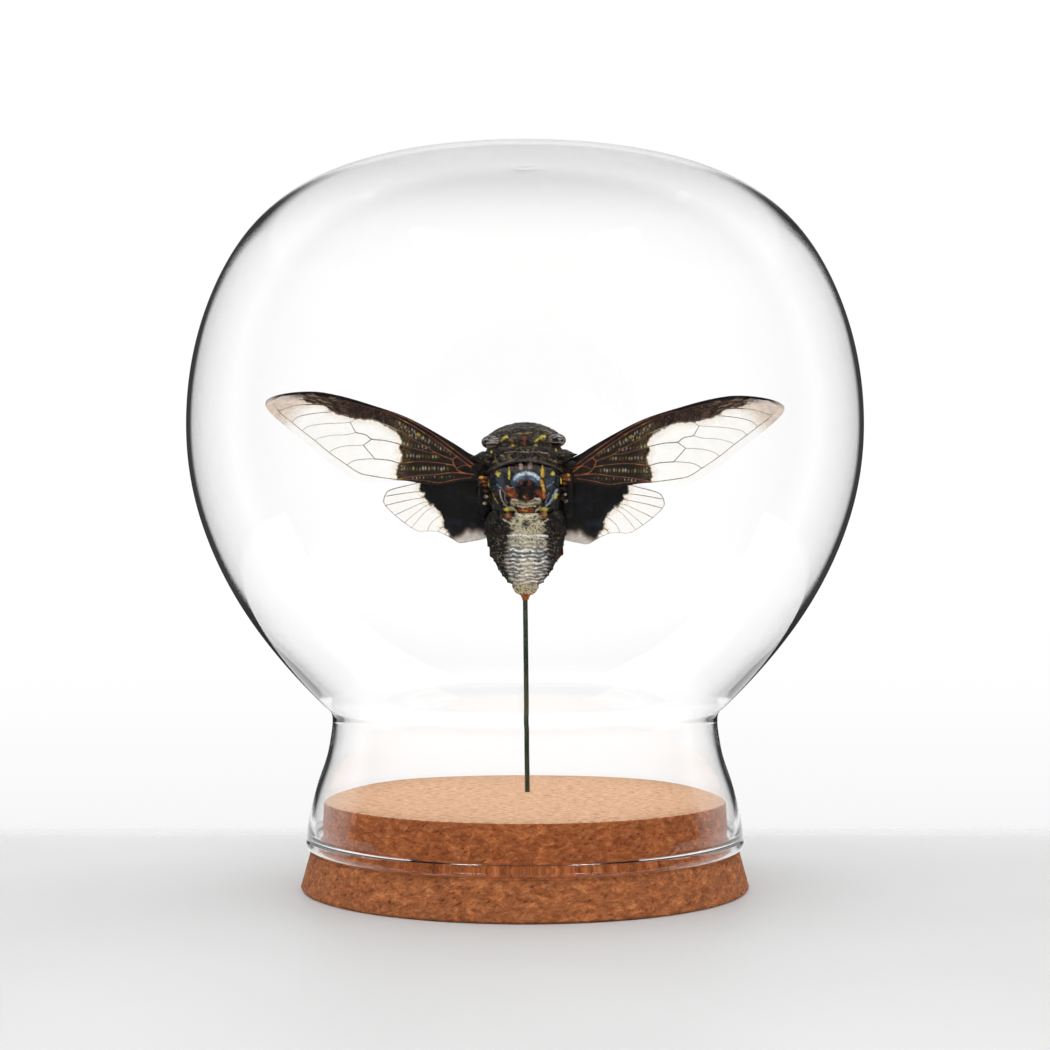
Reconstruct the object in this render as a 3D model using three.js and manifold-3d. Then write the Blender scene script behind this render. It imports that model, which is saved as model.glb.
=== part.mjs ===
// A cicada specimen on a wire, standing in a stepped cork base under an upturned glass bowl.
// Millimetres, +Z up. The origin is the centre of the cork's underside, and the specimen's back,
// with its spread wings, faces -Y. Every mesh is one closed solid.

import * as THREE from 'three';
import { mergeVertices } from 'three/addons/utils/BufferGeometryUtils.js';
import Module from 'manifold-3d';

const wasm = await Module();
wasm.setup();

// ---------------------------------------------------------------- driving dimensions

const GAP = 0.3; // left between pieces that touch

// cork base: a wide lower tier, a ledge that carries the glass, and a plug that enters it
const BASE_RADIUS = 46.7;
const LEDGE_RADIUS = 44.7;
const LEDGE_HEIGHT = 8;
const PLUG_RADIUS_LOW = 42.6;
const PLUG_RADIUS_TOP = 41.9;
const BASE_HEIGHT = 18.2;
const CORK_CHAMFER = 0.5;

// glass bowl, upside down: rim bead, flared neck, pinched waist, bulb and flattened crown
const RIM_BEAD_RADIUS = 1.3;
const RIM_CENTRE_RADIUS = 44.5;
const WAIST_RADIUS = 40.3;
const WAIST_HEIGHT = 33.2;
const CREASE_RADIUS = 40.5;
const CREASE_HEIGHT = 36.3;
const BULB_RADIUS = 70.7;
const BULB_HEIGHT = 96.5;
const CROWN_HEIGHT = 152.9;
const WALL_NECK = 1.8;
const WALL_CREASE = 2.3;
const WALL_BULB = 1;
const GLASS_SEGMENTS = 40;

// wire that carries the specimen, with its foot a little to the right of its top
const WIRE_RADIUS = 0.52;
const WIRE_FOOT = 9;
const WIRE_FOOT_X = 0.6;
const WIRE_IN_BODY = 5;
const WIRE_HOLE_RADIUS = WIRE_RADIUS + GAP;

// specimen: its own origin is the middle of the thorax, with x to its right side
const INSECT_Y = 7;
const INSECT_HEIGHT = 83;
const BODY_X = 0.1;
const WINGS_X = -0.2;
const BODY_LEAN = THREE.MathUtils.degToRad(-1.5);
const WING_LEAN = THREE.MathUtils.degToRad(0.55);
const WING_SWEEP = THREE.MathUtils.degToRad(4);
const WAIST_Z = -4.45;
const TAIL_END = -23.9;
const WING_PLATE = 0.3;
const VEIN_THICK = 0.56;
const FOREWING_Y = -1.9;
const HINDWING_Y = -0.9;
const BODY_SIDES = 22;

// ---------------------------------------------------------------- helpers

const v2 = (x, y) => new THREE.Vector2(x, y);
const v3 = (x, y, z) => new THREE.Vector3(x, y, z);

// One closed shell: shared corners, no needle triangles, faces outwards
function closed(geometry) {
  const bare = geometry.clone();
  bare.deleteAttribute('normal');
  bare.deleteAttribute('uv');
  const merged = mergeVertices(bare, 1e-4);
  const index = merged.index.array;
  const at = (i) => new THREE.Vector3().fromBufferAttribute(merged.attributes.position, i);
  const kept = [];
  let volume = 0;
  for (let i = 0; i < index.length; i += 3) {
    const [a, b, c] = [index[i], index[i + 1], index[i + 2]];
    if (a === b || b === c || c === a) continue;
    kept.push(a, b, c);
    volume += at(a).dot(at(b).cross(at(c)));
  }
  if (volume < 0) kept.reverse();
  merged.setIndex(kept);
  return merged;
}

function toSolid(geometry) {
  const shell = closed(geometry);
  const vertProperties = new Float32Array(shell.attributes.position.array);
  const triVerts = new Uint32Array(shell.index.array);
  return new wasm.Manifold(new wasm.Mesh({ numProp: 3, vertProperties, triVerts }));
}

function fromSolid(solid) {
  const mesh = solid.getMesh();
  const geometry = new THREE.BufferGeometry();
  geometry.setAttribute('position', new THREE.BufferAttribute(mesh.vertProperties, 3));
  geometry.setIndex(Array.from(mesh.triVerts));
  return geometry;
}

const join = (shapes) => fromSolid(shapes.map(toSolid).reduce((a, b) => a.add(b)));
const cut = (shape, tool) => fromSolid(toSolid(shape).subtract(toSolid(tool)));

// A profile of [radius, height] pairs turned about Z
function turned(profile, segments) {
  const points = profile.map(([radius, height]) => v2(radius, height));
  return closed(new THREE.LatheGeometry(points, segments).rotateX(Math.PI / 2));
}

// Points of a smooth curve through [a, b] pairs
function smooth(pairs, count) {
  const curve = new THREE.SplineCurve(pairs.map(([a, b]) => v2(a, b)));
  return curve.getSpacedPoints(count).map((p) => [p.x, p.y]);
}

function ball(rx, ry, rz, [x, y, z], across = 10, down = 7) {
  return new THREE.SphereGeometry(1, across, down).rotateX(Math.PI / 2)
    .scale(rx, ry, rz).translate(x, y, z);
}

// A tapered rod between two points
function rod(from, to, radiusFrom, radiusTo, sides = 6) {
  const [a, b] = [v3(...from), v3(...to)];
  const length = a.distanceTo(b);
  const turn = new THREE.Quaternion().setFromUnitVectors(v3(0, 1, 0), b.clone().sub(a).normalize());
  return new THREE.CylinderGeometry(radiusTo, radiusFrom, length, sides)
    .applyQuaternion(turn).translate(...a.add(b).multiplyScalar(0.5).toArray());
}

// A body form from stations [height, half width, depth of the back, depth of the belly]
function bodyForm(stations, sides = BODY_SIDES) {
  const rings = stations.length - 1;
  const form = new THREE.CylinderGeometry(1, 1, 1, sides, rings).rotateX(Math.PI / 2);
  const p = form.attributes.position;
  for (let i = 0; i < p.count; i += 1) {
    const [x, y] = [p.getX(i), p.getY(i)];
    const [height, half, back, belly] = stations[Math.round((0.5 - p.getZ(i)) * rings)];
    p.setXYZ(i, x * half, y * (y < 0 ? back : belly), height);
  }
  return form;
}

function piece(name, geometry, colour, roughness, metalness = 0) {
  const material = new THREE.MeshStandardMaterial({ color: colour, roughness, metalness });
  const mesh = new THREE.Mesh(closed(geometry), material);
  mesh.name = name;
  return mesh;
}

// ---------------------------------------------------------------- cork, glass and wire

// The wire's line, between two heights: as the wire itself and as the hole round it
const WIRE_TOP = INSECT_HEIGHT + TAIL_END + WIRE_IN_BODY - GAP;

function wireRod(radius, low, high) {
  const xAt = (height) => (WIRE_FOOT_X * (WIRE_TOP - height)) / (WIRE_TOP - WIRE_FOOT);
  const ends = [low, high].map((height) => [xAt(height), INSECT_Y, height]);
  return rod(...ends, radius, radius, 12);
}

function corkBase() {
  const c = CORK_CHAMFER;
  const block = turned([
    [0, 0], [BASE_RADIUS - c, 0], [BASE_RADIUS, c], [LEDGE_RADIUS, LEDGE_HEIGHT - c],
    [LEDGE_RADIUS - c, LEDGE_HEIGHT], [PLUG_RADIUS_LOW, LEDGE_HEIGHT],
    [PLUG_RADIUS_TOP, BASE_HEIGHT - c], [PLUG_RADIUS_TOP - c, BASE_HEIGHT], [0, BASE_HEIGHT],
  ], GLASS_SEGMENTS);
  const hole = wireRod(WIRE_HOLE_RADIUS, WIRE_FOOT - GAP, WIRE_TOP);
  return piece('cork_base', cut(block, hole), '#a9683f', 0.9);
}

// Outside and inside of the bowl, both from the rim up to the crown
const GLASS_OUTSIDE_NECK = [
  [45.5, 11.2], [44.9, 15.6], [43.3, 21.6], [41.3, 27.3], [WAIST_RADIUS, WAIST_HEIGHT],
];
const GLASS_OUTSIDE_BULB = [
  [CREASE_RADIUS, CREASE_HEIGHT], [45.5, 41], [52.9, 49.4], [60.4, 60], [66.4, 72.5],
  [69.8, 84.5], [BULB_RADIUS, BULB_HEIGHT], [69.5, 110], [65.4, 123.5], [58.4, 136.1],
  [48.6, 144.6], [35, 149.8], [18, 152.3], [0, CROWN_HEIGHT],
];

function wallAt(height) {
  const toCrease = THREE.MathUtils.smoothstep(height, WAIST_HEIGHT - 8, CREASE_HEIGHT);
  const toBulb = THREE.MathUtils.smoothstep(height, CREASE_HEIGHT, BULB_HEIGHT - 20);
  const low = THREE.MathUtils.lerp(WALL_NECK, WALL_CREASE, toCrease);
  return THREE.MathUtils.lerp(low, WALL_BULB, toBulb);
}

// The inside follows the outside at the wall's thickness, square to the surface
function insideOf(outside) {
  return outside.map(([radius, height], i) => {
    const before = outside[Math.max(i - 1, 0)];
    const after = outside[Math.min(i + 1, outside.length - 1)];
    const along = v2(after[0] - before[0], after[1] - before[1]).normalize();
    const wall = wallAt(height);
    if (radius < 1e-6) return [0, height - wall];
    return [radius - along.y * wall, height + along.x * wall];
  });
}

function rimBead() {
  const steps = 6;
  const middle = LEDGE_HEIGHT + GAP + RIM_BEAD_RADIUS;
  return Array.from({ length: steps }, (_, i) => {
    const turn = Math.PI * (0.8 + (1.4 * i) / (steps - 1));
    return [
      RIM_CENTRE_RADIUS + RIM_BEAD_RADIUS * Math.cos(turn),
      middle + RIM_BEAD_RADIUS * Math.sin(turn),
    ];
  });
}

function glassDome() {
  const outside = [...smooth(GLASS_OUTSIDE_NECK, 4), ...smooth(GLASS_OUTSIDE_BULB, 13)];
  outside[outside.length - 1] = [0, CROWN_HEIGHT];
  const inside = insideOf(outside).reverse().filter((_, i) => i % 2 === 0);
  const profile = [...rimBead(), ...outside, ...inside];
  return piece('glass_dome', turned([...profile, profile[0]], GLASS_SEGMENTS), '#f4f8f8', 0.04);
}

function supportWire() {
  return piece('support_wire', wireRod(WIRE_RADIUS, WIRE_FOOT, WIRE_TOP), '#22301f', 0.45, 0.4);
}

// ---------------------------------------------------------------- body

// Head: a wide wedge with an eye at each end, a swollen face, a beak and two short feelers
const HEAD_FORM = [
  [14.4, 1.9, 0.8, 2.2], [13.7, 4.2, 1.9, 3.2], [12.5, 6.3, 2.9, 3.9], [11.2, 7.5, 3.6, 4.3],
  [10.2, 7.9, 3.9, 4.5], [9.35, 7.6, 3.9, 4.4],
];
const EYE_X = 7.4;
const EYE_Z = 10.8;

function head() {
  const shapes = [
    bodyForm(HEAD_FORM),
    ball(2.9, 3, 2.9, [0, 3.7, 12.35]),
    rod([0, 5.2, 11.2], [0, 6.9, 6], 1, 0.6),
    rod([0, 6.88, 6.05], [0, 6.7, -3.5], 0.6, 0.3),
  ];
  for (const side of [-1, 1]) {
    shapes.push(ball(1.6, 1.9, 1.65, [side * EYE_X, -0.3, EYE_Z]));
    shapes.push(rod([side * 3.5, 2.5, 12.1], [side * 5.6, 5.7, 13.3], 0.24, 0.12, 5));
  }
  return piece('head', join(shapes), '#1d1712', 0.45);
}

// Collar plate behind the head, with a lobe reaching out over each wing root
const COLLAR_FORM = [
  [9.05, 7.9, 4.2, 4.4], [8, 8.5, 4.7, 4.7], [6.9, 8.9, 4.9, 4.9], [5.75, 8.7, 4.7, 4.9],
];

function pronotum() {
  const shapes = [bodyForm(COLLAR_FORM)];
  for (const side of [-1, 1]) {
    shapes.push(ball(2.7, 1.1, 0.75, [side * 8.7, -2.3, 7.2], 10, 6));
  }
  return piece('pronotum', join(shapes), '#1b1510', 0.5);
}

// Domed shield, the raised cross behind it and the two knobs that flank its tail
const THORAX_FORM = [
  [5.45, 8, 4.4, 4.9], [3.6, 8.5, 5.3, 5.3], [1.2, 8.6, 5.6, 5.5], [-1.4, 8.4, 5.1, 5.4],
  [-3.2, 8, 4.2, 5.2], [-4.3, 7.4, 3.8, 5],
];
const CROSS_ARM = [[0, -5.2, -2.6], [2.5, -4.9, -1.6], [3, -4.4, -3.6]];
const FOREWING_ROOT = [8, -1.5, 3];
const HINDWING_ROOT = [7.9, -0.7, -1.5];

function thorax() {
  const shapes = [bodyForm(THORAX_FORM), ball(1.9, 0.7, 0.8, [0, -4.7, -2.7], 10, 6)];
  for (const side of [-1, 1]) {
    const [middle, upper, lower] = CROSS_ARM.map(([x, y, z]) => [side * x, y, z]);
    shapes.push(rod(middle, upper, 0.5, 0.4, 5));
    shapes.push(rod(middle, lower, 0.5, 0.4, 5));
    shapes.push(ball(0.85, 0.7, 0.75, [side * 3.8, -3.5, -3.4], 6, 5));
    for (const [x, y, z] of [FOREWING_ROOT, HINDWING_ROOT]) {
      shapes.push(ball(1.5, 1.4, 2.2, [side * x, y, z], 8, 5));
    }
  }
  return piece('thorax', join(shapes), '#17120f', 0.3);
}

// Overlapping rings that narrow to the tail: [upper end, half width there]
const ABDOMEN_RINGS = [
  [-4.65, 7.9], [-6.4, 8.75], [-9.2, 8.6], [-11.7, 7.9], [-13.5, 7.2], [-14.9, 6.6],
  [-16.7, 5.7], [-18.1, 4.8], [-19.6, 3.7],
];
const RING_STEP = 0.28;
const ABDOMEN_DEPTH = 0.5;

function abdomen() {
  const stations = [];
  ABDOMEN_RINGS.forEach(([height, half], i) => {
    const depth = (width) => [1.2 + width * ABDOMEN_DEPTH * 0.75, 1 + width * ABDOMEN_DEPTH];
    if (i > 1) stations.push([height + RING_STEP, half + RING_STEP, ...depth(half + RING_STEP)]);
    stations.push([height, half, ...depth(half)]);
  });
  const tail = [
    [-20.1, 2.75, 2, 2.1], [-22.1, 2.3, 1.7, 1.8], [-22.8, 1.5, 1.3, 1.4], [TAIL_END, 1, 0.95, 1.1],
  ];
  const rings = bodyForm([...stations, ...tail]).translate(BODY_X, INSECT_Y, INSECT_HEIGHT);
  const hole = wireRod(WIRE_HOLE_RADIUS, BASE_HEIGHT, WIRE_TOP + GAP);
  return piece('abdomen', cut(rings, hole), '#8d8a80', 0.7);
}

// Legs, folded against the belly. Each row: name, then hip, knee, ankle and toe of the +x leg
const LEGS = [
  ['leg_front', [2.6, 6.1, 4.9], [7.3, 7, 8], [7, 8.4, 3.3], [5.4, 8.9, 0.9]],
  ['leg_middle', [2.9, 6.5, 1.6], [7.6, 7.2, 3.1], [7.4, 8, -3.2], [5.9, 8.3, -5.6]],
  ['leg_hind', [3, 6.3, -1.7], [7.6, 6.9, -4.6], [7.6, 4.9, -13.4], [5.1, 5.6, -16.2]],
];
const THIGH_RADIUS = 0.95;
const KNEE_RADIUS = 0.6;
const ANKLE_RADIUS = 0.36;
const TOE_RADIUS = 0.2;

function leg(name, side, joints) {
  const [hip, knee, ankle, toe] = joints.map(([x, y, z]) => [side * x, y, z]);
  const shape = join([
    rod(hip, knee, THIGH_RADIUS, KNEE_RADIUS),
    rod(knee, ankle, KNEE_RADIUS, ANKLE_RADIUS, 5),
    rod(ankle, toe, ANKLE_RADIUS, TOE_RADIUS, 5),
  ]);
  return piece(`${name}_${side < 0 ? 'left' : 'right'}`, shape, '#3a2415', 0.5);
}

// ---------------------------------------------------------------- wings

// [distance out from the body's middle, height] along the edge, root to tip and back
const FOREWING_LEADING = [
  [9.9, 4.7], [11.5, 7.4], [16.7, 10.8], [24.9, 15.2], [33, 18], [40.2, 20], [46, 20.8],
  [52.6, 20.2],
];
const FOREWING_TIP = [[56, 18.6]];
const FOREWING_TRAILING = [
  [54.4, 15.7], [47.9, 10.4], [42.4, 6], [38.2, 3.2], [33.6, 1.3], [26.6, 1.9], [20.7, 1.1],
  [18.1, 0.8], [15.6, 1.4], [9.9, 2.2],
];
const HINDWING_EDGE = [
  [9.7, 2.5], [13, 2.6], [16, 2.5], [23, 1.9], [27.9, 0.4], [30.4, -2.4], [27.9, -5.2], [22.8, -8.8], [18.7, -8.7],
  [15.7, -10], [13.4, -11.1], [10.3, -10], [9.7, -7],
];

// Main veins as [distance out, height] points
const FOREWING_VEINS = [
  [[10, 4.2], [14.4, 7.2], [22.8, 12.9], [32, 16.6], [43.8, 18], [49.2, 17.9], [52.8, 16.4]],
  [[14.6, 6.4], [18.7, 7.7], [23.8, 10.5], [29.1, 13.4], [38, 14.1], [44.8, 16], [50, 14.2]],
  [[18.7, 7.7], [25.8, 9], [33, 10.6], [41, 11.4], [47.8, 12.3]],
  [[15, 5.1], [22.4, 5.8], [28.9, 6.2], [36.3, 6.4], [41.9, 7.7]],
  [[11.3, 3.3], [18.7, 3.2], [24.8, 2.6], [29.8, 2.4], [38.1, 5.1], [45, 10.3], [52.8, 16.2]],
];
const HINDWING_VEINS = [
  [[9.8, -0.6], [17, -1.2], [25, -2.4], [29.8, -2.8]],
  [[9.8, -1.6], [16, -4.4], [21, -7.1]],
  [[9.7, -3], [12, -6.4], [13.2, -10.4]],
];

function plate(edge, count) {
  const outline = new THREE.Shape(smooth(edge, count).map(([out, up]) => v2(out, up)));
  return new THREE.ExtrudeGeometry(outline, { depth: WING_PLATE, bevelEnabled: false })
    .translate(0, 0, -WING_PLATE / 2).rotateX(Math.PI / 2);
}

function vein(points) {
  const curve = new THREE.CatmullRomCurve3(points.map(([out, up]) => v3(out, 0, up)));
  const h = VEIN_THICK / 2;
  const section = new THREE.Shape([v2(-h, 0), v2(0, -h), v2(h, 0), v2(0, h)]);
  return new THREE.ExtrudeGeometry(section, {
    extrudePath: curve, steps: points.length - 1, bevelEnabled: false,
  });
}

function wing(name, side, edge, count, veins, rise, colour) {
  const shape = join([plate(edge, count), ...veins.map(vein)]);
  shape.rotateZ(WING_SWEEP).translate(0, rise, 0);
  if (side < 0) shape.scale(-1, 1, 1);
  return piece(`${name}_${side < 0 ? 'left' : 'right'}`, shape, colour, 0.4);
}

// ---------------------------------------------------------------- assembly

const object = new THREE.Group();
object.add(corkBase(), glassDome(), supportWire(), abdomen());

// The front of the body leans about the joint with the abdomen
const leaning = new THREE.Group();
leaning.position.set(BODY_X, INSECT_Y, INSECT_HEIGHT + WAIST_Z);
leaning.rotation.y = BODY_LEAN;
const front = new THREE.Group();
front.position.z = -WAIST_Z;
front.add(head(), pronotum(), thorax());
leaning.add(front);

const wings = new THREE.Group();
wings.position.set(WINGS_X, INSECT_Y, INSECT_HEIGHT);
wings.rotation.y = WING_LEAN;

const foreEdge = [...FOREWING_LEADING, ...FOREWING_TIP, ...FOREWING_TRAILING];
for (const side of [-1, 1]) {
  for (const [name, ...joints] of LEGS) front.add(leg(name, side, joints));
  wings.add(wing('forewing', side, foreEdge, 34, FOREWING_VEINS, FOREWING_Y, '#3b2a1b'));
  wings.add(wing('hindwing', side, HINDWING_EDGE, 24, HINDWING_VEINS, HINDWING_Y, '#221c18'));
}
object.add(leaning, wings);

export default object;
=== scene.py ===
# %% [markdown]
# # A cicada in a glass dome
#
# A dried cicada with spread wings stands on a thin wire, which is stuck in a stepped disc of
# cork. An upturned round bowl of clear glass covers it and rests on the cork's ledge.
# The model comes from a CAD part that fixes every size. This lesson dresses it, piece by piece.

import math
import random

import bmesh
import bpy
from mathutils import Matrix, Vector, noise


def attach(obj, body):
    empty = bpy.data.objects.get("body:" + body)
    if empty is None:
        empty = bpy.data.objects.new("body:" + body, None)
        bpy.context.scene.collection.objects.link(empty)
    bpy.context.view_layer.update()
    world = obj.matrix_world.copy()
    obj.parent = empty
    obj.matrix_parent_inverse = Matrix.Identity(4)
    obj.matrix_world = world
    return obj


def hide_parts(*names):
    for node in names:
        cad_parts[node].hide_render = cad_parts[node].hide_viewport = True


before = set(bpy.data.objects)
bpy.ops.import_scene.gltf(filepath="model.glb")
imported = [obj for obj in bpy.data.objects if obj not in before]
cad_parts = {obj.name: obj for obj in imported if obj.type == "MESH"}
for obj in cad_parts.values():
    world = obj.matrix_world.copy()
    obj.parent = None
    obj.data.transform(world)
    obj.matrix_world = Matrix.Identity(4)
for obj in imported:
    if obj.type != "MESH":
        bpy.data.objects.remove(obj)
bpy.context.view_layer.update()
MM = 0.001
random.seed(11)

# %% [markdown]
# ## Small tools for shapes
#
# Most of this object is round, so most pieces start as a profile that is spun round the
# upright axis. A smooth profile needs few points if a Catmull-Rom curve runs through them.
# Each maker gives back a bmesh, in millimetres, and one function turns it into an object.


# %% Curves through a few points
FAR = Vector((31.7, 5.3, 11.9))  # sets two noise patterns of one scale apart
CURVE_STEPS = 16  # fine points between two given ones


def along_curve(points, count):
    """count + 1 points, evenly spaced by length, on a Catmull-Rom curve through the given ones."""
    pts = [Vector(p) for p in points]
    ends = [pts[0] * 2 - pts[1]] + pts + [pts[-1] * 2 - pts[-2]]
    fine = []
    for a, b, c, d in zip(ends, ends[1:], ends[2:], ends[3:]):
        for i in range(CURVE_STEPS):
            t = i / CURVE_STEPS
            slope = (c - a) * t
            bend = (a * 2 - b * 5 + c * 4 - d) * t * t
            twist = (b * 3 - a - c * 3 + d) * t**3
            fine.append((b * 2 + slope + bend + twist) * 0.5)
    fine.append(pts[-1])
    lengths = [0.0]
    for p, q in zip(fine, fine[1:]):
        lengths.append(lengths[-1] + (q - p).length)
    out = []
    k = 0
    for i in range(count + 1):
        want = lengths[-1] * i / count
        while k < len(fine) - 2 and lengths[k + 1] < want:
            k += 1
        span = max(lengths[k + 1] - lengths[k], 1e-9)
        out.append(fine[k].lerp(fine[k + 1], min((want - lengths[k]) / span, 1.0)))
    return out


def value_at(table, x):
    """A number read off a table of (x, value) rows, with straight steps between the rows."""
    if x <= table[0][0]:
        return table[0][1]
    for (x0, v0), (x1, v1) in zip(table, table[1:]):
        if x <= x1:
            t = (x - x0) / (x1 - x0)
            return v0 + (v1 - v0) * t
    return table[-1][1]


def ease(low, high, x):
    """Goes smoothly from 0 at low to 1 at high; low may be the larger of the two."""
    t = min(max((x - low) / (high - low), 0.0), 1.0)
    return t * t * (3 - 2 * t)


# %% Spinning a profile, and making an object of a bmesh
WELD = 1e-4  # millimetres within which two points become one


def spun(profile, steps, closed=False):
    """Spins a list of (radius, height) points once round the upright axis."""
    bm = bmesh.new()
    verts = [bm.verts.new((r, 0, z)) for r, z in profile]
    edges = [bm.edges.new(pair) for pair in zip(verts, verts[1:])]
    if closed:
        edges.append(bm.edges.new((verts[-1], verts[0])))
    bmesh.ops.spin(
        bm,
        geom=verts + edges,
        cent=(0, 0, 0),
        axis=(0, 0, 1),
        angle=math.tau,
        steps=steps,
        use_merge=True,
    )
    bmesh.ops.remove_doubles(bm, verts=bm.verts[:], dist=WELD)
    bmesh.ops.recalc_face_normals(bm, faces=bm.faces[:])
    return bm


def make_piece(name, bm, material, nodes, place=Matrix()):
    """Turns a bmesh in millimetres into a finished piece in metres."""
    bm.transform(Matrix.Scale(MM, 4) @ place)
    mesh = bpy.data.meshes.new(name)
    bm.to_mesh(mesh)
    bm.free()
    for polygon in mesh.polygons:
        polygon.use_smooth = True
    piece = bpy.data.objects.new(name, mesh)
    bpy.context.scene.collection.objects.link(piece)
    mesh.materials.append(material)
    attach(piece, "root")
    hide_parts(*nodes)
    triangles = sum(len(p.vertices) - 2 for p in mesh.polygons)
    print(f"{name}: {triangles} triangles")


# %% [markdown]
# ## Small tools for materials
#
# A material is a tree of nodes, and so is the light of the world. These helpers add one node
# each and wire it, so that each finish below reads like a recipe. All patterns read Object
# coordinates or an attribute.


# %% Node helpers
COLOUR_A, COLOUR_B, COLOUR_RESULT = 6, 7, 2  # the mix node's sockets that carry colours


class NodeTree:
    """Helpers that add a node to a tree, wire it and return its output."""

    def __init__(self, tree):
        self.tree = tree

    def node(self, kind, **settings):
        made = self.tree.nodes.new(kind)
        for key, value in settings.items():
            setattr(made, key, value)
        return made

    def feed(self, socket, value):
        if isinstance(value, bpy.types.NodeSocket):
            self.tree.links.new(value, socket)
        else:
            socket.default_value = value

    def ramp(self, value, *stops):
        """A colour ramp; each stop is a position and a colour or a grey."""
        made = self.node("ShaderNodeValToRGB")
        self.feed(made.inputs["Fac"], value)
        elements = made.color_ramp.elements
        while len(elements) < len(stops):
            elements.new(0.5)
        for element, (position, colour) in zip(elements, stops):
            element.position = position
            grey = (colour,) * 3 if isinstance(colour, (int, float)) else colour
            element.color = (*grey, 1)
        return made.outputs["Color"]

    def mix(self, share, a, b, blend="MIX"):
        made = self.node("ShaderNodeMix", data_type="RGBA", blend_type=blend)
        self.feed(made.inputs["Factor"], share)
        for socket, value in ((made.inputs[COLOUR_A], a), (made.inputs[COLOUR_B], b)):
            self.feed(socket, (*value, 1) if isinstance(value, tuple) else value)
        return made.outputs[COLOUR_RESULT]

    def math(self, operation, a, b=0.5):
        made = self.node("ShaderNodeMath", operation=operation)
        self.feed(made.inputs[0], a)
        self.feed(made.inputs[1], b)
        return made.outputs[0]

    def parts(self, vector):
        made = self.node("ShaderNodeSeparateXYZ")
        self.feed(made.inputs["Vector"], vector)
        return made.outputs

    def blend(self, share, a, b):
        """Mixes two shaders."""
        made = self.node("ShaderNodeMixShader")
        for socket, value in zip(made.inputs, (share, a, b)):
            self.feed(socket, value)
        return made.outputs["Shader"]


class Recipe(NodeTree):
    """One material: its tree, its shader and the patterns that feed it."""

    def __init__(self, name):
        self.material = bpy.data.materials.new(name)
        self.material.use_nodes = True
        super().__init__(self.material.node_tree)
        self.shader = self.tree.nodes["Principled BSDF"]
        self.output = self.tree.nodes["Material Output"]
        self.place = self.node("ShaderNodeTexCoord").outputs["Object"]

    def set(self, **values):
        """Sets the shader's own sockets; an underscore stands for a space."""
        for key, value in values.items():
            self.feed(self.shader.inputs[key.replace("_", " ")], value)

    def stretched(self, x, y, z):
        mapping = self.node("ShaderNodeMapping")
        self.feed(mapping.inputs["Vector"], self.place)
        mapping.inputs["Scale"].default_value = (x, y, z)
        return mapping.outputs["Vector"]

    def noise(self, scale, detail=4.0, roughness=0.55, vector=None, distortion=0.0):
        made = self.node("ShaderNodeTexNoise")
        self.feed(made.inputs["Vector"], vector or self.place)
        made.inputs["Scale"].default_value = scale
        made.inputs["Detail"].default_value = detail
        made.inputs["Roughness"].default_value = roughness
        made.inputs["Distortion"].default_value = distortion
        return made.outputs["Fac"]

    def cells(self, scale, vector=None, feature="F1", output="Distance"):
        made = self.node("ShaderNodeTexVoronoi", feature=feature)
        self.feed(made.inputs["Vector"], vector or self.place)
        made.inputs["Scale"].default_value = scale
        return made.outputs[output]

    def attribute(self, name, output="Color"):
        return self.node("ShaderNodeAttribute", attribute_name=name).outputs[output]

    def bump(self, height, strength, distance):
        made = self.node("ShaderNodeBump")
        made.inputs["Strength"].default_value = strength
        made.inputs["Distance"].default_value = distance
        self.feed(made.inputs["Height"], height)
        self.feed(self.shader.inputs["Normal"], made.outputs["Normal"])


# %% [markdown]
# ## Studio: camera, pale table and white light
#
# The object is seen from a little above the cork, with a moderate telephoto lens. Everything
# behind it is white, so clear glass shows only by its edges. Those are dark in a studio
# because light that is mirrored inside the wall comes from the dark room on both sides of the
# white sheet. Here the world does the same: it looks at what a ray has been through. Straight
# rays see the white sheet. Rays mirrored in the front wall of the glass see a dark room, with
# the sheet straight ahead, the end of the table, a ceiling and two small lamps behind the
# camera. Rays mirrored in its far wall see a plain white one. Rays mirrored by the insect see
# a dark room with soft boxes. Diffuse rays see plain soft light from above.

# %% Camera
CAMERA_DISTANCE = 418 * MM
CAMERA_HEIGHT = 67 * MM
CAMERA_TILT = math.radians(1.15)
CLIP_START = 10 * MM
SENSOR = 36.0
HALF_FRAME, LENS_LENGTH = 525, 1986  # both in pixels of the render
FIELD_OF_VIEW = 2 * math.atan(HALF_FRAME / LENS_LENGTH)
camera_data = bpy.data.cameras.new("camera")
camera_data.sensor_width = SENSOR
camera_data.lens = SENSOR / 2 / math.tan(FIELD_OF_VIEW / 2)
camera_data.clip_start = CLIP_START
camera = bpy.data.objects.new("camera", camera_data)
camera.location = (0, -CAMERA_DISTANCE, CAMERA_HEIGHT)
camera.rotation_euler = (math.pi / 2 + CAMERA_TILT, 0, 0)
bpy.context.scene.collection.objects.link(camera)
bpy.context.scene.camera = camera
bpy.context.scene.view_settings.view_transform = "Standard"
print("lens, mm:", round(camera_data.lens, 1))

# %% The world's tree, its directions and its lights
world = bpy.data.worlds.new("studio")
bpy.context.scene.world = world
world.use_nodes = True
world.cycles.sampling_method = "NONE"
world.node_tree.nodes.clear()
sky = NodeTree(world.node_tree)
direction = sky.parts(sky.node("ShaderNodeTexCoord").outputs["Generated"])
path = sky.node("ShaderNodeLightPath").outputs


def half(value):
    """A direction's part, from -1..1 to 0..1, so that a colour ramp can read it."""
    return sky.math("ADD", sky.math("MULTIPLY", value, 0.5), 0.5)


def light(colour, strength):
    """A light of the world; only one of them answers each ray."""
    made = sky.node("ShaderNodeBackground")
    sky.feed(made.inputs["Color"], colour)
    made.inputs["Strength"].default_value = strength
    return made.outputs["Background"]


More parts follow.
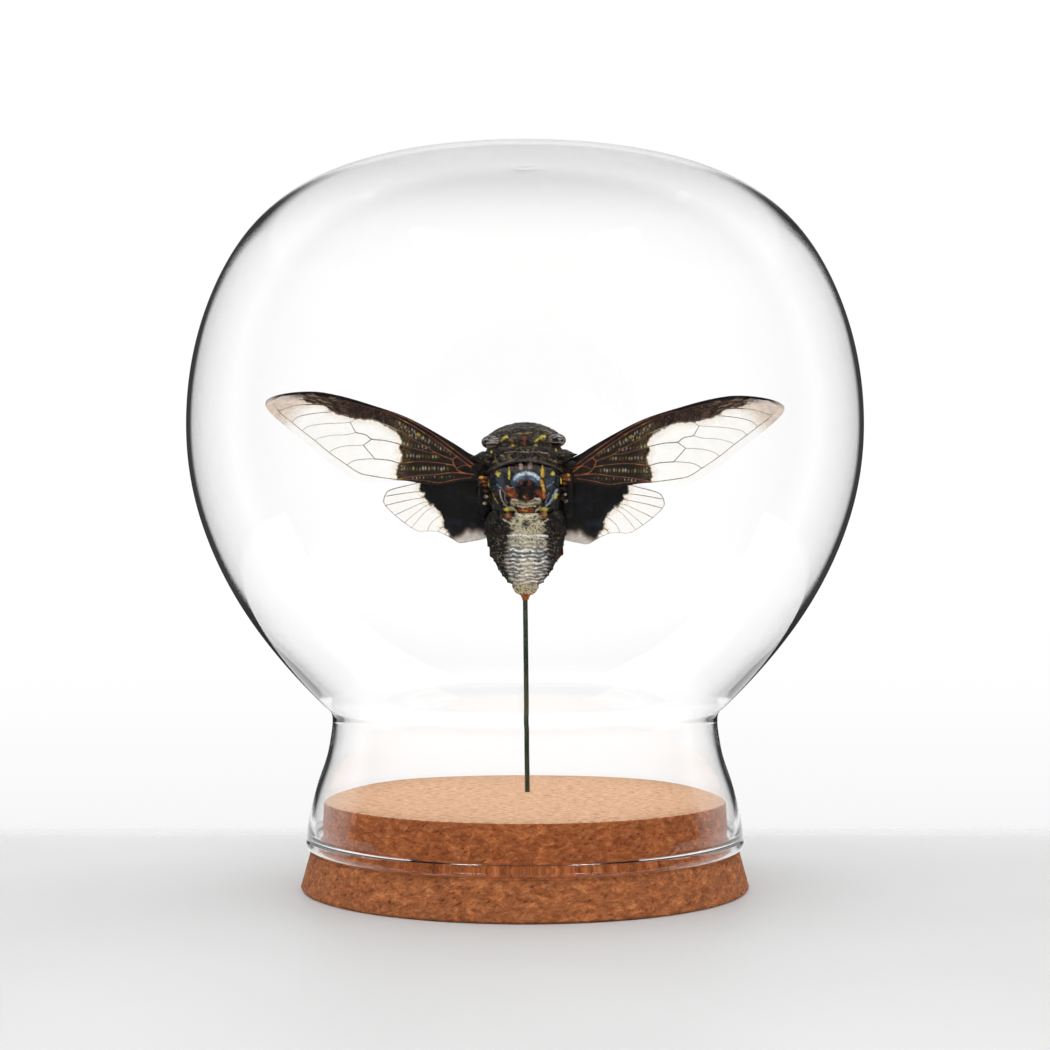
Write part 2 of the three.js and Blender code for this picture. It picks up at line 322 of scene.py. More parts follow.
def deeper(kind, depth):
    """1 for a ray that has been mirrored, refracted or scattered that often, else 0."""
    return sky.math("GREATER_THAN", path[kind + " Depth"], depth - 0.5)


up = half(direction["Z"])
across = sky.math("ABSOLUTE", direction["X"])
ahead = sky.ramp(half(direction["Y"]), (0.58, 0.0), (0.68, 1.0))

# %% What straight rays and diffuse rays see
SHEET_LIGHT = 1.02
SHEET_LIGHT_THROUGH_GLASS = 1.14
SOFT_LIGHT = 2.6
seen = sky.blend(
    deeper("Transmission", 2),
    light(sky.ramp(up, (0.43, 0.9), (0.465, 0.97), (0.5, 1.0)), SHEET_LIGHT),
    light(sky.ramp(up, (0.43, 0.93), (0.465, 0.98), (0.5, 1.0)), SHEET_LIGHT_THROUGH_GLASS),
)
soft_light = light(sky.ramp(up, (0.3, 0.3), (0.5, 0.5), (0.75, 0.85), (1.0, 1.0)), SOFT_LIGHT)

# %% What mirrored rays see
DARK_ROOM = 0.02
SIDE_BOX_GREY = (0.3, 0.3, 0.3)
FAR_WALL_WHITE = (0.95, 0.95, 0.95, 1)


def window(heights, widths):
    """A bright part of the room: a ramp over height times a ramp over width."""
    return sky.math("MULTIPLY", sky.ramp(up, *heights), sky.ramp(across, *widths))


table_end = window(
    [(0.45, 0.0), (0.456, 0.85), (0.504, 0.85), (0.509, 0.0)], [(0.14, 1.0), (0.18, 0.0)]
)
sheet = window([(0.53, 0.0), (0.56, 0.95)], [(0.19, 1.0), (0.24, 0.0)])
ceiling = sky.ramp(up, (0.7, 0.03), (0.76, 0.9))
side_walls = sky.ramp(across, (0.44, 0.0), (0.52, 0.7))
lit = sky.math("MAXIMUM", sky.math("MAXIMUM", table_end, sheet), ceiling)
lit = sky.math("MAXIMUM", lit, side_walls)
lit = sky.math("MULTIPLY", lit, ahead)
lamps = window(
    [(0.85, 0.0), (0.87, 9.0), (0.9, 9.0), (0.92, 0.0)],
    [(0.3, 0.0), (0.34, 1.0), (0.46, 1.0), (0.5, 0.0)],
)
lamps = sky.math("MULTIPLY", lamps, sky.math("SUBTRACT", 1.0, ahead))
wall_light = light(sky.math("ADD", sky.math("ADD", lit, lamps), DARK_ROOM), 1.0)
side_box = sky.ramp(across, (0.6, 0.0), (0.7, 1.0), (0.85, 1.0), (0.93, 0.0))
room = sky.ramp(up, (0.4, 0.1), (0.52, 0.03), (0.74, 0.03), (0.78, 1.0), (0.97, 0.8))
room_light = light(sky.mix(side_box, room, SIDE_BOX_GREY, "ADD"), 1.0)
mirrored = sky.blend(deeper("Transmission", 4), wall_light, room_light)
mirrored = sky.blend(deeper("Transmission", 5), mirrored, light(FAR_WALL_WHITE, 1.0))
shown = sky.blend(deeper("Glossy", 1), seen, mirrored)
shown = sky.blend(deeper("Diffuse", 1), shown, soft_light)
sky.feed(sky.node("ShaderNodeOutputWorld").inputs["Surface"], shown)
print("world nodes:", len(world.node_tree.nodes))

# %% [markdown]
# The table is a wide pale sheet. It fades out behind the object, where the white background
# starts, as the far edge of a studio table does. The fade is in the material: behind the edge
# the sheet turns transparent. Rays mirrored in the front of the glass see it bright within
# arm's reach, and other mirrored rays pass through it.

# %% Table top
TABLE_SIDE = 2.4
TABLE_DROP = 0.05 * MM
bm = bmesh.new()
bmesh.ops.create_grid(bm, x_segments=8, y_segments=8, size=TABLE_SIDE / 2)
floor_mesh = bpy.data.meshes.new("table_top")
bm.to_mesh(floor_mesh)
bm.free()
floor = bpy.data.objects.new("table_top", floor_mesh)
floor.location.z = -TABLE_DROP
bpy.context.scene.collection.objects.link(floor)
print("table side, m:", TABLE_SIDE)

# %% Table finish, and what each kind of ray sees of it
TABLE_EDGE = (62 * MM, 100 * MM)
TABLE_GREY = 0.425
GRAIN_TONE = 0.012
ARMS_REACH = 0.25
BRIGHT_FROM = -40 * MM
FRONT_WALL_DEPTH = 3.5  # a ray mirrored in the front of the glass has been through less
table = Recipe("pale_table")
table.set(Roughness=0.5, Specular_IOR_Level=0.25)
grain = table.noise(9, 2)
table.set(
    Base_Color=table.ramp(
        grain, (0.3, TABLE_GREY - GRAIN_TONE), (0.7, TABLE_GREY + GRAIN_TONE)
    )
)
fade = table.node("ShaderNodeMapRange", interpolation_type="SMOOTHSTEP")
depth_back = table.parts(table.place)["Y"]
table.feed(fade.inputs["Value"], depth_back)
fade.inputs["From Min"].default_value = TABLE_EDGE[0]
fade.inputs["From Max"].default_value = TABLE_EDGE[1]
gone = table.node("ShaderNodeBsdfTransparent").outputs["BSDF"]
glow = table.node("ShaderNodeEmission").outputs["Emission"]
ray = table.node("ShaderNodeLightPath").outputs
from_centre = table.node("ShaderNodeVectorMath", operation="LENGTH")
table.feed(from_centre.inputs[0], table.place)
reached = table.math("LESS_THAN", from_centre.outputs["Value"], ARMS_REACH)
front = table.math("LESS_THAN", ray["Transmission Depth"], FRONT_WALL_DEPTH)
beyond = table.math("GREATER_THAN", depth_back, BRIGHT_FROM)
bright = table.math("MULTIPLY", table.math("MULTIPLY", reached, front), beyond)
straight = table.blend(fade.outputs["Result"], table.shader.outputs["BSDF"], gone)
table.feed(
    table.output.inputs["Surface"],
    table.blend(
        table.math("GREATER_THAN", ray["Glossy Depth"], 0.5),
        straight,
        table.blend(bright, gone, glow),
    ),
)
floor_mesh.materials.append(table.material)
print("table nodes:", len(table.tree.nodes))

# %% [markdown]
# ## Cork base
#
# The base is one turned piece of pressed cork: granules of bark glued in a block. Its sides
# were cut, so granules stand apart in colour and small crumbs have fallen out. Its top was
# sanded, so it is paler and smoother. A bump map alone would leave the outline perfect, so
# the profile is spun finely and the crumbs are sunk in the mesh itself. Two attributes keep
# where the pits are and how pale each granule is, for the material. The foot below the ledge
# is painted a little darker and the plug above it lighter: painted shade and light by height.

# %% Cork sizes, from the CAD part
BASE_RADIUS = 46.7
LEDGE_RADIUS = 44.7
LEDGE_HEIGHT = 8.0
PLUG_RADIUS_LOW = 42.6
PLUG_RADIUS_TOP = 41.9
BASE_HEIGHT = 18.2
CORK_STEP = 0.42
CORK_SPIN_STEPS = 420


def filled(corners, step):
    """A profile with extra points, so that none are further apart than step."""
    out = [Vector(corners[0])]
    for a, b in zip(corners, corners[1:]):
        a, b = Vector(a), Vector(b)
        count = max(1, math.ceil((b - a).length / step))
        out += [a.lerp(b, i / count) for i in range(1, count + 1)]
    return out


cork_profile = [(0, 0), (15, 0), (30, 0), (BASE_RADIUS - 0.8, 0)]
cork_profile += filled(
    [
        (BASE_RADIUS - 0.35, 0.05),
        (BASE_RADIUS, 0.45),
        (LEDGE_RADIUS + 0.05, LEDGE_HEIGHT - 0.45),
        (LEDGE_RADIUS - 0.45, LEDGE_HEIGHT),
        (PLUG_RADIUS_LOW, LEDGE_HEIGHT),
        (PLUG_RADIUS_TOP + 0.02, BASE_HEIGHT - 0.35),
        (PLUG_RADIUS_TOP - 0.35, BASE_HEIGHT),
        (34, BASE_HEIGHT),
    ],
    CORK_STEP,
)
cork_profile += [(r, BASE_HEIGHT) for r in (30, 26, 22, 18, 14, 10, 6, 3, 0)]
bm = spun(cork_profile, CORK_SPIN_STEPS)
print("cork profile points:", len(cork_profile))

# %% Crumbs and granules
GRANULE = 0.52
GRANULE_STRETCH = 1.9
SEAM_DEPTH = 0.04
CRUMB_DEPTH = 0.34
WEAR_DEPTH = 0.05
UNDERSIDE = 0.04  # no crumbs fall out below this height, where the cork stands
pit_layer = bm.verts.layers.float.new("pit")
tone_layer = bm.verts.layers.float.new("tone")
bm.normal_update()
moves = []
for v in bm.verts:
    steep = 1 - abs(v.normal.z)
    p = v.co.copy()
    flat = Vector((p.x, p.y, p.z * GRANULE_STRETCH))
    distances, centres = noise.voronoi(flat * GRANULE + noise.noise_vector(p * 0.9) * 0.35)
    seam = 1 - ease(0.0, 0.12, distances[1] - distances[0])
    crumb = ease(0.3, 0.55, noise.noise(flat * 0.8 + FAR))
    crumb *= ease(-0.1, 0.45, noise.noise(flat * 1.9))
    crumb = max(crumb, ease(0.5, 0.72, noise.noise(flat * 1.5 - FAR)))
    v[tone_layer] = noise.cell(centres[0] * 3.7)
    v[pit_layer] = min(1.0, 0.3 * seam + crumb)
    depth = SEAM_DEPTH * seam + CRUMB_DEPTH * crumb + WEAR_DEPTH * (noise.noise(p * 2.4) + 1)
    depth *= ease(0.1, 0.6, steep)
    if v.co.z < UNDERSIDE:
        depth = 0
    moves.append(v.normal * -depth)
for v, move in zip(bm.verts, moves):
    v.co += move
    v.co.z = max(v.co.z, 0.0)
print("deepest crumb, mm:", round(max(m.length for m in moves), 2))

# %% Cork finish: granules, streaks and dark pits, paler where sanded
GRANULE_RED = (0.33, 0.11, 0.036)
CRACK_BROWN = (0.075, 0.02, 0.008)
PIT_BROWN = (0.05, 0.014, 0.006)
# Painted shade and light by height: the foot is darkened and the plug above the ledge lightened.
FOOT_PAINTED_SHADE = (0.77, 0.68, 0.66)
PLUG_PAINTED_LIGHT = (1.38, 1.14, 1.08)
PLUG_FROM = (LEDGE_HEIGHT - 0.1) * MM
SANDED_FROM = (BASE_HEIGHT - 0.2) * MM
cork = Recipe("pressed_cork")
cork_height = cork.parts(cork.place)["Z"]
long_grain = cork.stretched(1, 1, GRANULE_STRETCH)
side_colour = cork.ramp(
    cork.noise(560, 9, 0.78, long_grain, 0.6),
    (0.34, (0.12, 0.034, 0.01)),
    (0.45, (0.31, 0.105, 0.031)),
    (0.55, (0.45, 0.17, 0.056)),
    (0.66, (0.66, 0.32, 0.13)),
)
granules = cork.cells(560, long_grain, output="Color")
granule_tone = cork.node("ShaderNodeSeparateColor")
cork.feed(granule_tone.inputs["Color"], granules)
redness = cork.math("MULTIPLY", granule_tone.outputs["Red"], 0.4)
side_colour = cork.mix(redness, side_colour, GRANULE_RED)
cracks = cork.ramp(cork.noise(1700, 6, 0.75, long_grain, 1.2), (0.56, 0.0), (0.63, 0.8))
side_colour = cork.mix(cracks, side_colour, CRACK_BROWN)
pits = cork.ramp(cork.attribute("pit", "Fac"), (0.3, 0.0), (0.95, 0.85))
side_colour = cork.mix(pits, side_colour, PIT_BROWN)
tone = cork.ramp(cork.attribute("tone", "Fac"), (0.0, 0.78), (1.0, 1.1))
side_colour = cork.mix(1.0, side_colour, tone, "MULTIPLY")
# Painted shade and light: the sides below the ledge are darkened and those above it lightened.
is_plug = cork.math("GREATER_THAN", cork_height, PLUG_FROM)
tier_painted_shade_and_light = cork.mix(is_plug, FOOT_PAINTED_SHADE, PLUG_PAINTED_LIGHT)
side_colour = cork.mix(1.0, side_colour, tier_painted_shade_and_light, "MULTIPLY")
top_colour = cork.ramp(
    cork.noise(1100, 8, 0.8, cork.stretched(0.5, 1.3, 1), 0.3),
    (0.36, (0.3, 0.125, 0.05)),
    (0.44, (0.66, 0.36, 0.2)),
    (0.54, (0.86, 0.53, 0.33)),
    (0.66, (0.98, 0.74, 0.54)),
)
is_top = cork.math("GREATER_THAN", cork_height, SANDED_FROM)
cork.set(Base_Color=cork.mix(is_top, side_colour, top_colour))
cork.set(Roughness=0.85, Specular_IOR_Level=0.2)
cork.bump(cork.noise(1700, 6, 0.72, long_grain), 0.7, 0.0003)
make_piece("cork_disc", bm, cork.material, ["cork_base"])

# %% [markdown]
# ## Glass bowl
#
# The dome is a blown bowl turned upside down: a rounded rim, a flared neck, a tight crease
# and a wide bulb with a flattened crown. It is one closed profile, inside and outside, spun
# round. Real wall thickness matters: the dark edge of glass is the band where light bounces
# inside the wall. The wall is thickest at the rim and in the crease, and thin in the bulb.

# %% Bowl profile: points as (radius, height), and the wall as (height, thickness)
RIM_BEAD_RADIUS = 1.3
RIM_CENTRE_RADIUS = 44.5
GLASS_GAP = 0.3
NECK_CURVE = [(45.5, 11.2), (44.9, 15.6), (43.3, 21.6), (41.3, 27.3), (40.3, 33.2)]
BULB_CURVE = [
    *[(40.5, 36.3), (45.5, 41), (52.9, 49.4), (60.4, 60), (66.4, 72.5), (69.8, 84.5)],
    *[(70.7, 96.5), (69.5, 110), (65.4, 123.5), (58.4, 136.1), (48.6, 144.6), (35, 149.8)],
    *[(18, 152.3), (0, 152.9)],
]
WALL = [
    *[(9, 1.8), (13, 1.3), (30, 1.3), (36.3, 1.8), (50, 1.1), (61, 0.8)],
    *[(80, 1.0), (112, 1.0), (131, 0.6), (153, 0.8)],
]
BEAD_STEPS = 18
BEAD_START, BEAD_SWEEP = 0.78, 1.44  # in half turns
BOWL_SPIN_STEPS = 200


def relaxed(points, rounds):
    """Evens out a curve's ripples and keeps its two ends."""
    for _ in range(rounds):
        middle = [(a + c) * 0.25 + b * 0.5 for a, b, c in zip(points, points[1:], points[2:])]
        points = [points[0], *middle, points[-1]]
    return points


neck = relaxed(along_curve(NECK_CURVE, 34), 12)
bulb = relaxed(along_curve([*BULB_CURVE, (-18, 152.3)], 130), 40)
bulb = [p for p in bulb if p.x > 0.5] + [Vector((0, BULB_CURVE[-1][1]))]
crease = along_curve([neck[-3], neck[-1], bulb[0], bulb[2]], 12)[3:-4]
outside = neck[:-1] + crease + bulb[2:]
inside = []
for i, p in enumerate(outside):
    before = outside[max(i - 1, 0)]
    after = outside[min(i + 1, len(outside) - 1)]
    run = (after - before).normalized()
    wall = value_at(WALL, p.y)
    inside.append(Vector((p.x - run.y * wall, p.y + run.x * wall)))
inside[-1] = Vector((0, outside[-1].y - WALL[-1][1]))
inside = relaxed(inside, 6)
bead_middle = LEDGE_HEIGHT + GLASS_GAP + RIM_BEAD_RADIUS
bead = []
for i in range(BEAD_STEPS + 1):
    turn = math.pi * (BEAD_START + BEAD_SWEEP * i / BEAD_STEPS)
    bead_r = RIM_CENTRE_RADIUS + RIM_BEAD_RADIUS * math.cos(turn)
    bead_z = bead_middle + RIM_BEAD_RADIUS * math.sin(turn)
    bead.append(Vector((bead_r, bead_z)))
bowl_profile = bead + outside + inside[::-1]
bm = spun([tuple(p) for p in bowl_profile], BOWL_SPIN_STEPS, closed=True)
print("bowl profile points:", len(bowl_profile))

# %% Clear glass
glass = Recipe("clear_blown_glass")
glass.set(Base_Color=(1, 1, 1, 1), Roughness=0.0, IOR=1.47, Transmission_Weight=1.0)
make_piece("glass_bowl", bm, glass.material, ["glass_dome"])

# %% [markdown]
# ## Wire
#
# A stiff wire of a millimetre, painted dark green, is stuck in the cork and in the tail.
# The CAD solid is right, so it stays and only gets its paint, a little worn and streaky.

# %% Painted wire
paint = Recipe("green_wire_paint")
paint.set(
    Base_Color=paint.ramp(
        paint.noise(700, 4, 0.6, paint.stretched(1, 1, 0.12)),
        (0.35, (0.012, 0.022, 0.012)),
        (0.65, (0.035, 0.06, 0.03)),
    ),
    Roughness=0.38,
)
paint.bump(paint.noise(2500, 3), 0.2, 0.0001)
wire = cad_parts["support_wire"]
wire.data.materials.clear()
wire.data.materials.append(paint.material)
print("painted:", wire.name)

# %% [markdown]
# ## The cicada: where it stands
#
# The specimen stands slightly askew, as real ones do: the front of its body leans a little to
# one side, and its wings lean to the other. Each part is modelled upright in the insect's
# own frame, in millimetres, and one of these matrices puts it on the wire.

# %% Places of the specimen's parts
INSECT_Y = 7.0
INSECT_HEIGHT = 83.0
BODY_X = 0.1
WINGS_X = -0.2
WAIST_Z = -4.45
BODY_LEAN = math.radians(-1.5)
WING_LEAN = math.radians(0.55)
WING_SWEEP = math.radians(4)
on_wire = Matrix.Translation((BODY_X, INSECT_Y, INSECT_HEIGHT))
leaning = on_wire @ Matrix.Translation((0, 0, WAIST_Z)) @ Matrix.Rotation(BODY_LEAN, 4, "Y")
leaning = leaning @ Matrix.Translation((0, 0, -WAIST_Z))
on_wings = Matrix.Translation((WINGS_X, INSECT_Y, INSECT_HEIGHT))
on_wings = on_wings @ Matrix.Rotation(WING_LEAN, 4, "Y")
SIDES = {"left": -1, "right": 1}
print("middle of the insect's back, mm above the table:", INSECT_HEIGHT)

# %% [markdown]
# ## Markings
#
# A cicada's shell carries small spots and bars that no procedural pattern would put in the
# right place. An image could hold them, but then the model would need a file and a UV map.
# Instead the shells are meshed finely, and a list of named marks paints a colour attribute on
# them. Each mark is a spot or a stripe with a place and a size in millimetres. A mark that
# stands up on the real insect also lifts the surface. A little noise wobbles every outline.


# %% Colours and marks
def shade(red, green, blue):
    """A colour given as the eye sees it, 0 to 255, made linear."""
    values = [c / 255 for c in (red, green, blue)]
    return Vector([c / 12.92 if c < 0.04 else ((c + 0.055) / 1.055) ** 2.4 for c in values])


BLACK = shade(15, 12, 11)
BROWN = shade(58, 42, 30)
YELLOW = shade(208, 190, 62)
DULL_YELLOW = shade(142, 116, 50)
GOLD = shade(200, 148, 46)
RUST = shade(126, 56, 26)
ORANGE = shade(190, 112, 48)
CREAM = shade(222, 216, 190)
PINK = shade(176, 154, 142)
PALE_BLUE = shade(164, 184, 206)
SLATE = shade(58, 72, 88)
GREY = shade(112, 106, 98)
WAX = shade(240, 240, 236)
WAX_SHADOW = shade(96, 102, 106)
BEIGE = shade(188, 180, 148)
DUST = shade(128, 114, 82)
GARNET = shade(92, 34, 20)
FRAY = 0.16  # millimetres that the edge of a mark strays, over short distances
BELLY_FROM = 0.4  # marks stop at this depth, a little behind the back's half


class Mark:
    """A spot, or a stripe along several points; sizes are half widths in millimetres."""

    def __init__(self, colour, points, wide, tall=None, soft=0.35, lift=0.0, cover=1.0):
        self.colour = colour
        self.points = points
        self.wide = wide
        self.tall = tall or wide
        self.soft = soft
        self.lift = lift
        self.cover = cover
        reach = max(self.wide, self.tall) * (1 + soft)
        xs = [p[0] for p in points]
        zs = [p[1] for p in points]
        self.box = (min(xs) - reach, max(xs) + reach, min(zs) - reach, max(zs) + reach)

    def share(self, x, z):
        """How much of the mark covers a place, 0 to 1."""
        low_x, high_x, low_z, high_z = self.box
        if x < low_x or x > high_x or z < low_z or z > high_z:
            return 0.0
        if len(self.points) == 1:
            px, pz = self.points[0]
            away = math.hypot((x - px) / self.wide, (z - pz) / self.tall)
        else:
            away = distance_to_line(self.points, x, z) / self.wide
        return 1 - ease(1 - self.soft, 1 + self.soft, away)


def distance_to_line(points, x, z):
    """The distance from a place to the nearest point of a line of points."""
    nearest = 1e9
    for (ax, az), (bx, bz) in zip(points, points[1:]):
        dx, dz = bx - ax, bz - az
        t = ((x - ax) * dx + (z - az) * dz) / max(dx * dx + dz * dz, 1e-12)
        t = min(max(t, 0.0), 1.0)
        nearest = min(nearest, math.hypot(x - ax - t * dx, z - az - t * dz))
    return nearest


def decorate(bm, place, base, marks=(), wobble=0.12, dents=0.0):
    """Paints and lifts a body form. Marks lie on the back, which is the -Y side."""
    layer = bm.verts.layers.float_color.new("markings")
    bm.normal_update()
    moves = []
    for v in bm.verts:
        where = place @ v.co
        x = where.x + wobble * noise.noise(where * 1.9)
        z = where.z - INSECT_HEIGHT + wobble * noise.noise(where * 1.9 + FAR)
        colour = base(x, z, where) if callable(base) else base
        lift = dents * noise.noise(where * 1.3)
        x += FRAY * noise.noise(where * 4.1)
        z += FRAY * noise.noise(where * 4.1 - FAR)
        worn = 0.88 + 0.5 * noise.noise(where * 2.7 - FAR)
        if v.co.y < BELLY_FROM:
            for mark in marks:
                share = mark.share(x, z)
                if share > 0:
                    colour = colour.lerp(mark.colour, min(share * mark.cover * worn, 1.0))
                    lift += mark.lift * share
        v[layer] = (*colour, 1)
        moves.append(v.normal * lift)
    for v, move in zip(bm.verts, moves):
        v.co += move


# %% Body forms: a spun tube whose rings are then stretched to the body's stations
def formed(rows, sides):
    """Rows are (height, half width, depth of the back, depth of the belly), top to bottom."""
    last = len(rows) - 1
    bm = spun([(0, 0), *[(1, i) for i in range(last + 1)], (0, last)], sides)
    for v in bm.verts:
        height, half_width, back, belly = rows[round(v.co.z)]
        deep = back if v.co.y < 0 else belly
        v.co = (v.co.x * half_width, v.co.y * deep, height)
    bmesh.ops.recalc_face_normals(bm, faces=bm.faces[:])
    return bm


def add_ball(bm, centre, radii, segments=32):
    matrix = Matrix.Translation(centre) @ Matrix.Diagonal((*radii, 1))
    bmesh.ops.create_uvsphere(
        bm, u_segments=segments, v_segments=segments // 2, radius=1, matrix=matrix
    )


def add_tubes(bm, routes, sides):
    """Adds round tubes: each route is a list of points with a radius at each point."""
    curve = bpy.data.curves.new("tubes", "CURVE")
    curve.dimensions = "3D"
    curve.bevel_depth = 1.0
    curve.bevel_resolution = sides
    curve.use_fill_caps = True
    for points, radii in routes:
        spline = curve.splines.new("POLY")
        spline.points.add(len(points) - 1)
        for place, point, radius in zip(spline.points, points, radii):
            place.co = (*point, 1)
            place.radius = radius
    holder = bpy.data.objects.new("tubes", curve)
    mesh = bpy.data.meshes.new_from_object(holder)
    bm.from_mesh(mesh)
    bpy.data.objects.remove(holder)
    bpy.data.curves.remove(curve)
    bpy.data.meshes.remove(mesh)


def radii_along(count, *rows):
    """Radii at count + 1 places, read off (share of the way, radius) rows."""
    return [value_at(rows, i / count) for i in range(count + 1)]


# %% [markdown]
# ## Insect shell
#
# Insect shell is dark, hard and waxy: shiny where it bulges and dull in its folds. The colour
# comes from the marks, with a finer mottling from noise. A clear coat gives the gloss of the
# back, and a bump of fine pores keeps it from looking like plastic.


# %% Shell finishes
def shell_finish(name, roughness, coat, pores, mottle=0.45, dust=0.3):
    """A finish that is painted by the marks; pores and mottle are strengths."""
    shell = Recipe(name)
    marks = shell.attribute("markings")
    mottling = shell.ramp(shell.noise(1500, 4, 0.6), (0.35, 1 - mottle), (0.65, 1.15))
    specks = shell.ramp(shell.noise(1900, 5, 0.7), (0.57, 0.0), (0.66, dust))
    dusty = shell.mix(specks, marks, tuple(DUST))
    shell.set(Base_Color=shell.mix(1.0, dusty, mottling, "MULTIPLY"))
    rough = shell.ramp(shell.noise(900, 3), (0.35, roughness - 0.08), (0.7, roughness + 0.12))
    shell.set(Roughness=rough, Coat_Weight=coat, Coat_Roughness=0.12, Specular_IOR_Level=0.35)
    height = shell.mix(0.35, shell.noise(2600, 3, 0.6), shell.noise(800, 4, 0.6))
    shell.bump(height, pores, 0.00012)
    return shell.material


rough_shell = shell_finish("rough_insect_shell", 0.42, 0.15, 0.7)
shiny_shell = shell_finish("shiny_insect_shell", 0.24, 0.7, 0.25, 0.3, 0.12)
waxy_shell = shell_finish("waxy_insect_shell", 0.55, 0.0, 0.9, 0.3)
leg_shell = shell_finish("leg_shell", 0.34, 0.3, 0.4)
print("shell finishes:", [m.name for m in (rough_shell, shiny_shell, waxy_shell, leg_shell)])

# %% [markdown]
# ## Head
#
# The head is a wide wedge. Its front is a swollen plate with cross ribs, the compound eyes
# stand out at its ends, and three tiny simple eyes sit on its crown. Behind the face hang the
# beak and two bristle-thin feelers. The capsule is a stretched tube, and the small parts are
# balls and tubes set into it.

# %% Head capsule
HEAD_STATIONS = [
    (14.45, 1.3, 0.4, 1.2),
    (14.35, 2.2, 0.9, 2.2),
    (13.95, 3.8, 1.7, 3.0),
    (13.35, 5.3, 2.5, 3.5),
    (12.6, 6.7, 3.1, 3.9),
    (11.8, 7.6, 3.5, 4.2),
    (10.8, 8.0, 3.9, 4.4),
    (9.9, 8.0, 4.1, 4.5),
    (9.0, 7.8, 4.1, 4.5),
]
HEAD_MARKS = [
    Mark(BLACK, [(-2.6, 14.0), (2.0, 14.0)], 0.3, lift=0.12),
    Mark(GREY, [(-6.6, 12.4), (-4.6, 13.0), (-2.4, 13.35)], 0.1, lift=0.12, cover=0.75),
    Mark(GREY, [(2.2, 13.3), (4.4, 13.0), (6.4, 12.2)], 0.1, lift=0.12, cover=0.75),
    Mark(DULL_YELLOW, [(-5.6, 12.4), (-4.6, 12.75), (-3.4, 12.8)], 0.1, cover=0.5),
    Mark(PINK, [(3.2, 12.7), (4.6, 12.6), (5.8, 12.1)], 0.09, cover=0.6),
    Mark(GREY, [(-2.0, 13.4), (-0.9, 13.2), (0.3, 13.2), (1.6, 13.4)], 0.1, lift=0.1, cover=0.6),
    Mark(DULL_YELLOW, [(-2.1, 11.95), (1.6, 12.05)], 0.11, lift=0.1),
    Mark(BROWN, [(-2.2, 11.2), (1.6, 11.3)], 0.3, soft=0.6, cover=0.7),
    Mark(YELLOW, [(-4.7, 10.8), (-4.2, 11.1), (-3.9, 11.2)], 0.26, soft=0.6),
    Mark(DULL_YELLOW, [(-5.3, 10.3), (-4.8, 10.7)], 0.16, soft=0.6),
    Mark(DULL_YELLOW, [(-3.3, 10.6), (-2.6, 10.35)], 0.24, soft=0.6, cover=0.8),
    Mark(YELLOW, [(3.3, 11.0), (3.8, 11.25), (4.2, 11.3)], 0.26, soft=0.6),
    Mark(YELLOW, [(2.2, 10.3), (2.8, 10.65), (3.3, 11.0)], 0.17, soft=0.6, cover=0.85),
    Mark(DULL_YELLOW, [(3.6, 10.5), (4.3, 10.7)], 0.15, soft=0.6, cover=0.7),
    Mark(RUST, [(-0.15, 10.9), (-0.1, 9.5)], 0.3, lift=-0.08, soft=0.5),
    Mark(YELLOW, [(-2.5, 9.25), (-2.35, 8.95)], 0.3, soft=0.6),
    Mark(DULL_YELLOW, [(-2.9, 9.0), (-1.9, 8.9)], 0.2, soft=0.6),
    Mark(YELLOW, [(1.75, 8.95), (2.2, 9.35), (2.45, 9.1)], 0.25, soft=0.6),
    Mark(BLACK, [(-1.3, 10.9), (-1.2, 9.2)], 0.22, lift=-0.15),
    Mark(BLACK, [(1.1, 10.9), (1.0, 9.2)], 0.22, lift=-0.15),
]


def mottled(colour, where):
    """Small olive patches where the shell's dark coat is thin, and grey patches that are painted
    highlights.
    """
    olive = ease(0.2, 0.45, noise.noise(where * 1.9 - FAR))
    # The grey patches stand in for bluish highlights: painted highlights.
    grey = ease(0.3, 0.5, noise.noise(where * 2.6 + FAR))
    return colour.lerp(DULL_YELLOW, 0.4 * olive).lerp(GREY, 0.5 * grey)


def ribbed(x, z, where):
    """The dark head, with pale crests on the ribs of its front and worn places."""
    ribs = ease(0.55, 0.95, math.sin(z * 11 + 0.35 * abs(x)) * 0.5 + 0.5)
    ribs *= ease(12.7, 13.3, z) * ease(-5.5, -2.5, -abs(x))
    worn = ease(0.1, 0.6, noise.noise(where * 1.1))
    scratches = ease(0.35, 0.6, noise.noise(Vector((x * 0.9, 4.2, z * 4.5))))
    colour = mottled(BLACK.lerp(BROWN, worn * 0.7), where)
    return colour.lerp(GREY, 0.35 * ribs + 0.4 * scratches)


bm = formed(along_curve(HEAD_STATIONS, 46), 260)
decorate(bm, leaning, ribbed, HEAD_MARKS, dents=0.14)
make_piece("head_capsule", bm, rough_shell, ["head"], leaning)

# %% Compound eyes, simple eyes, face, beak and feelers
EYE_PLACE = (6.75, -0.9, 10.4)
EYE_RADII = (2.3, 2.7, 1.55)
SIMPLE_EYES = [(-0.75, 10.7), (0.75, 10.7), (0, 11.6)]
BEAK = [(0, 5.2, 11), (0, 6.7, 7.6), (0, 7.0, 4), (0, 6.9, 0), (0, 6.7, -3.5)]
FEELER = [(3.3, 2.3, 12), (4.6, 4, 12.9), (5.6, 5.6, 13.3)]
eye_finish = Recipe("compound_eye")
lattice = eye_finish.cells(5200, feature="SMOOTH_F1")
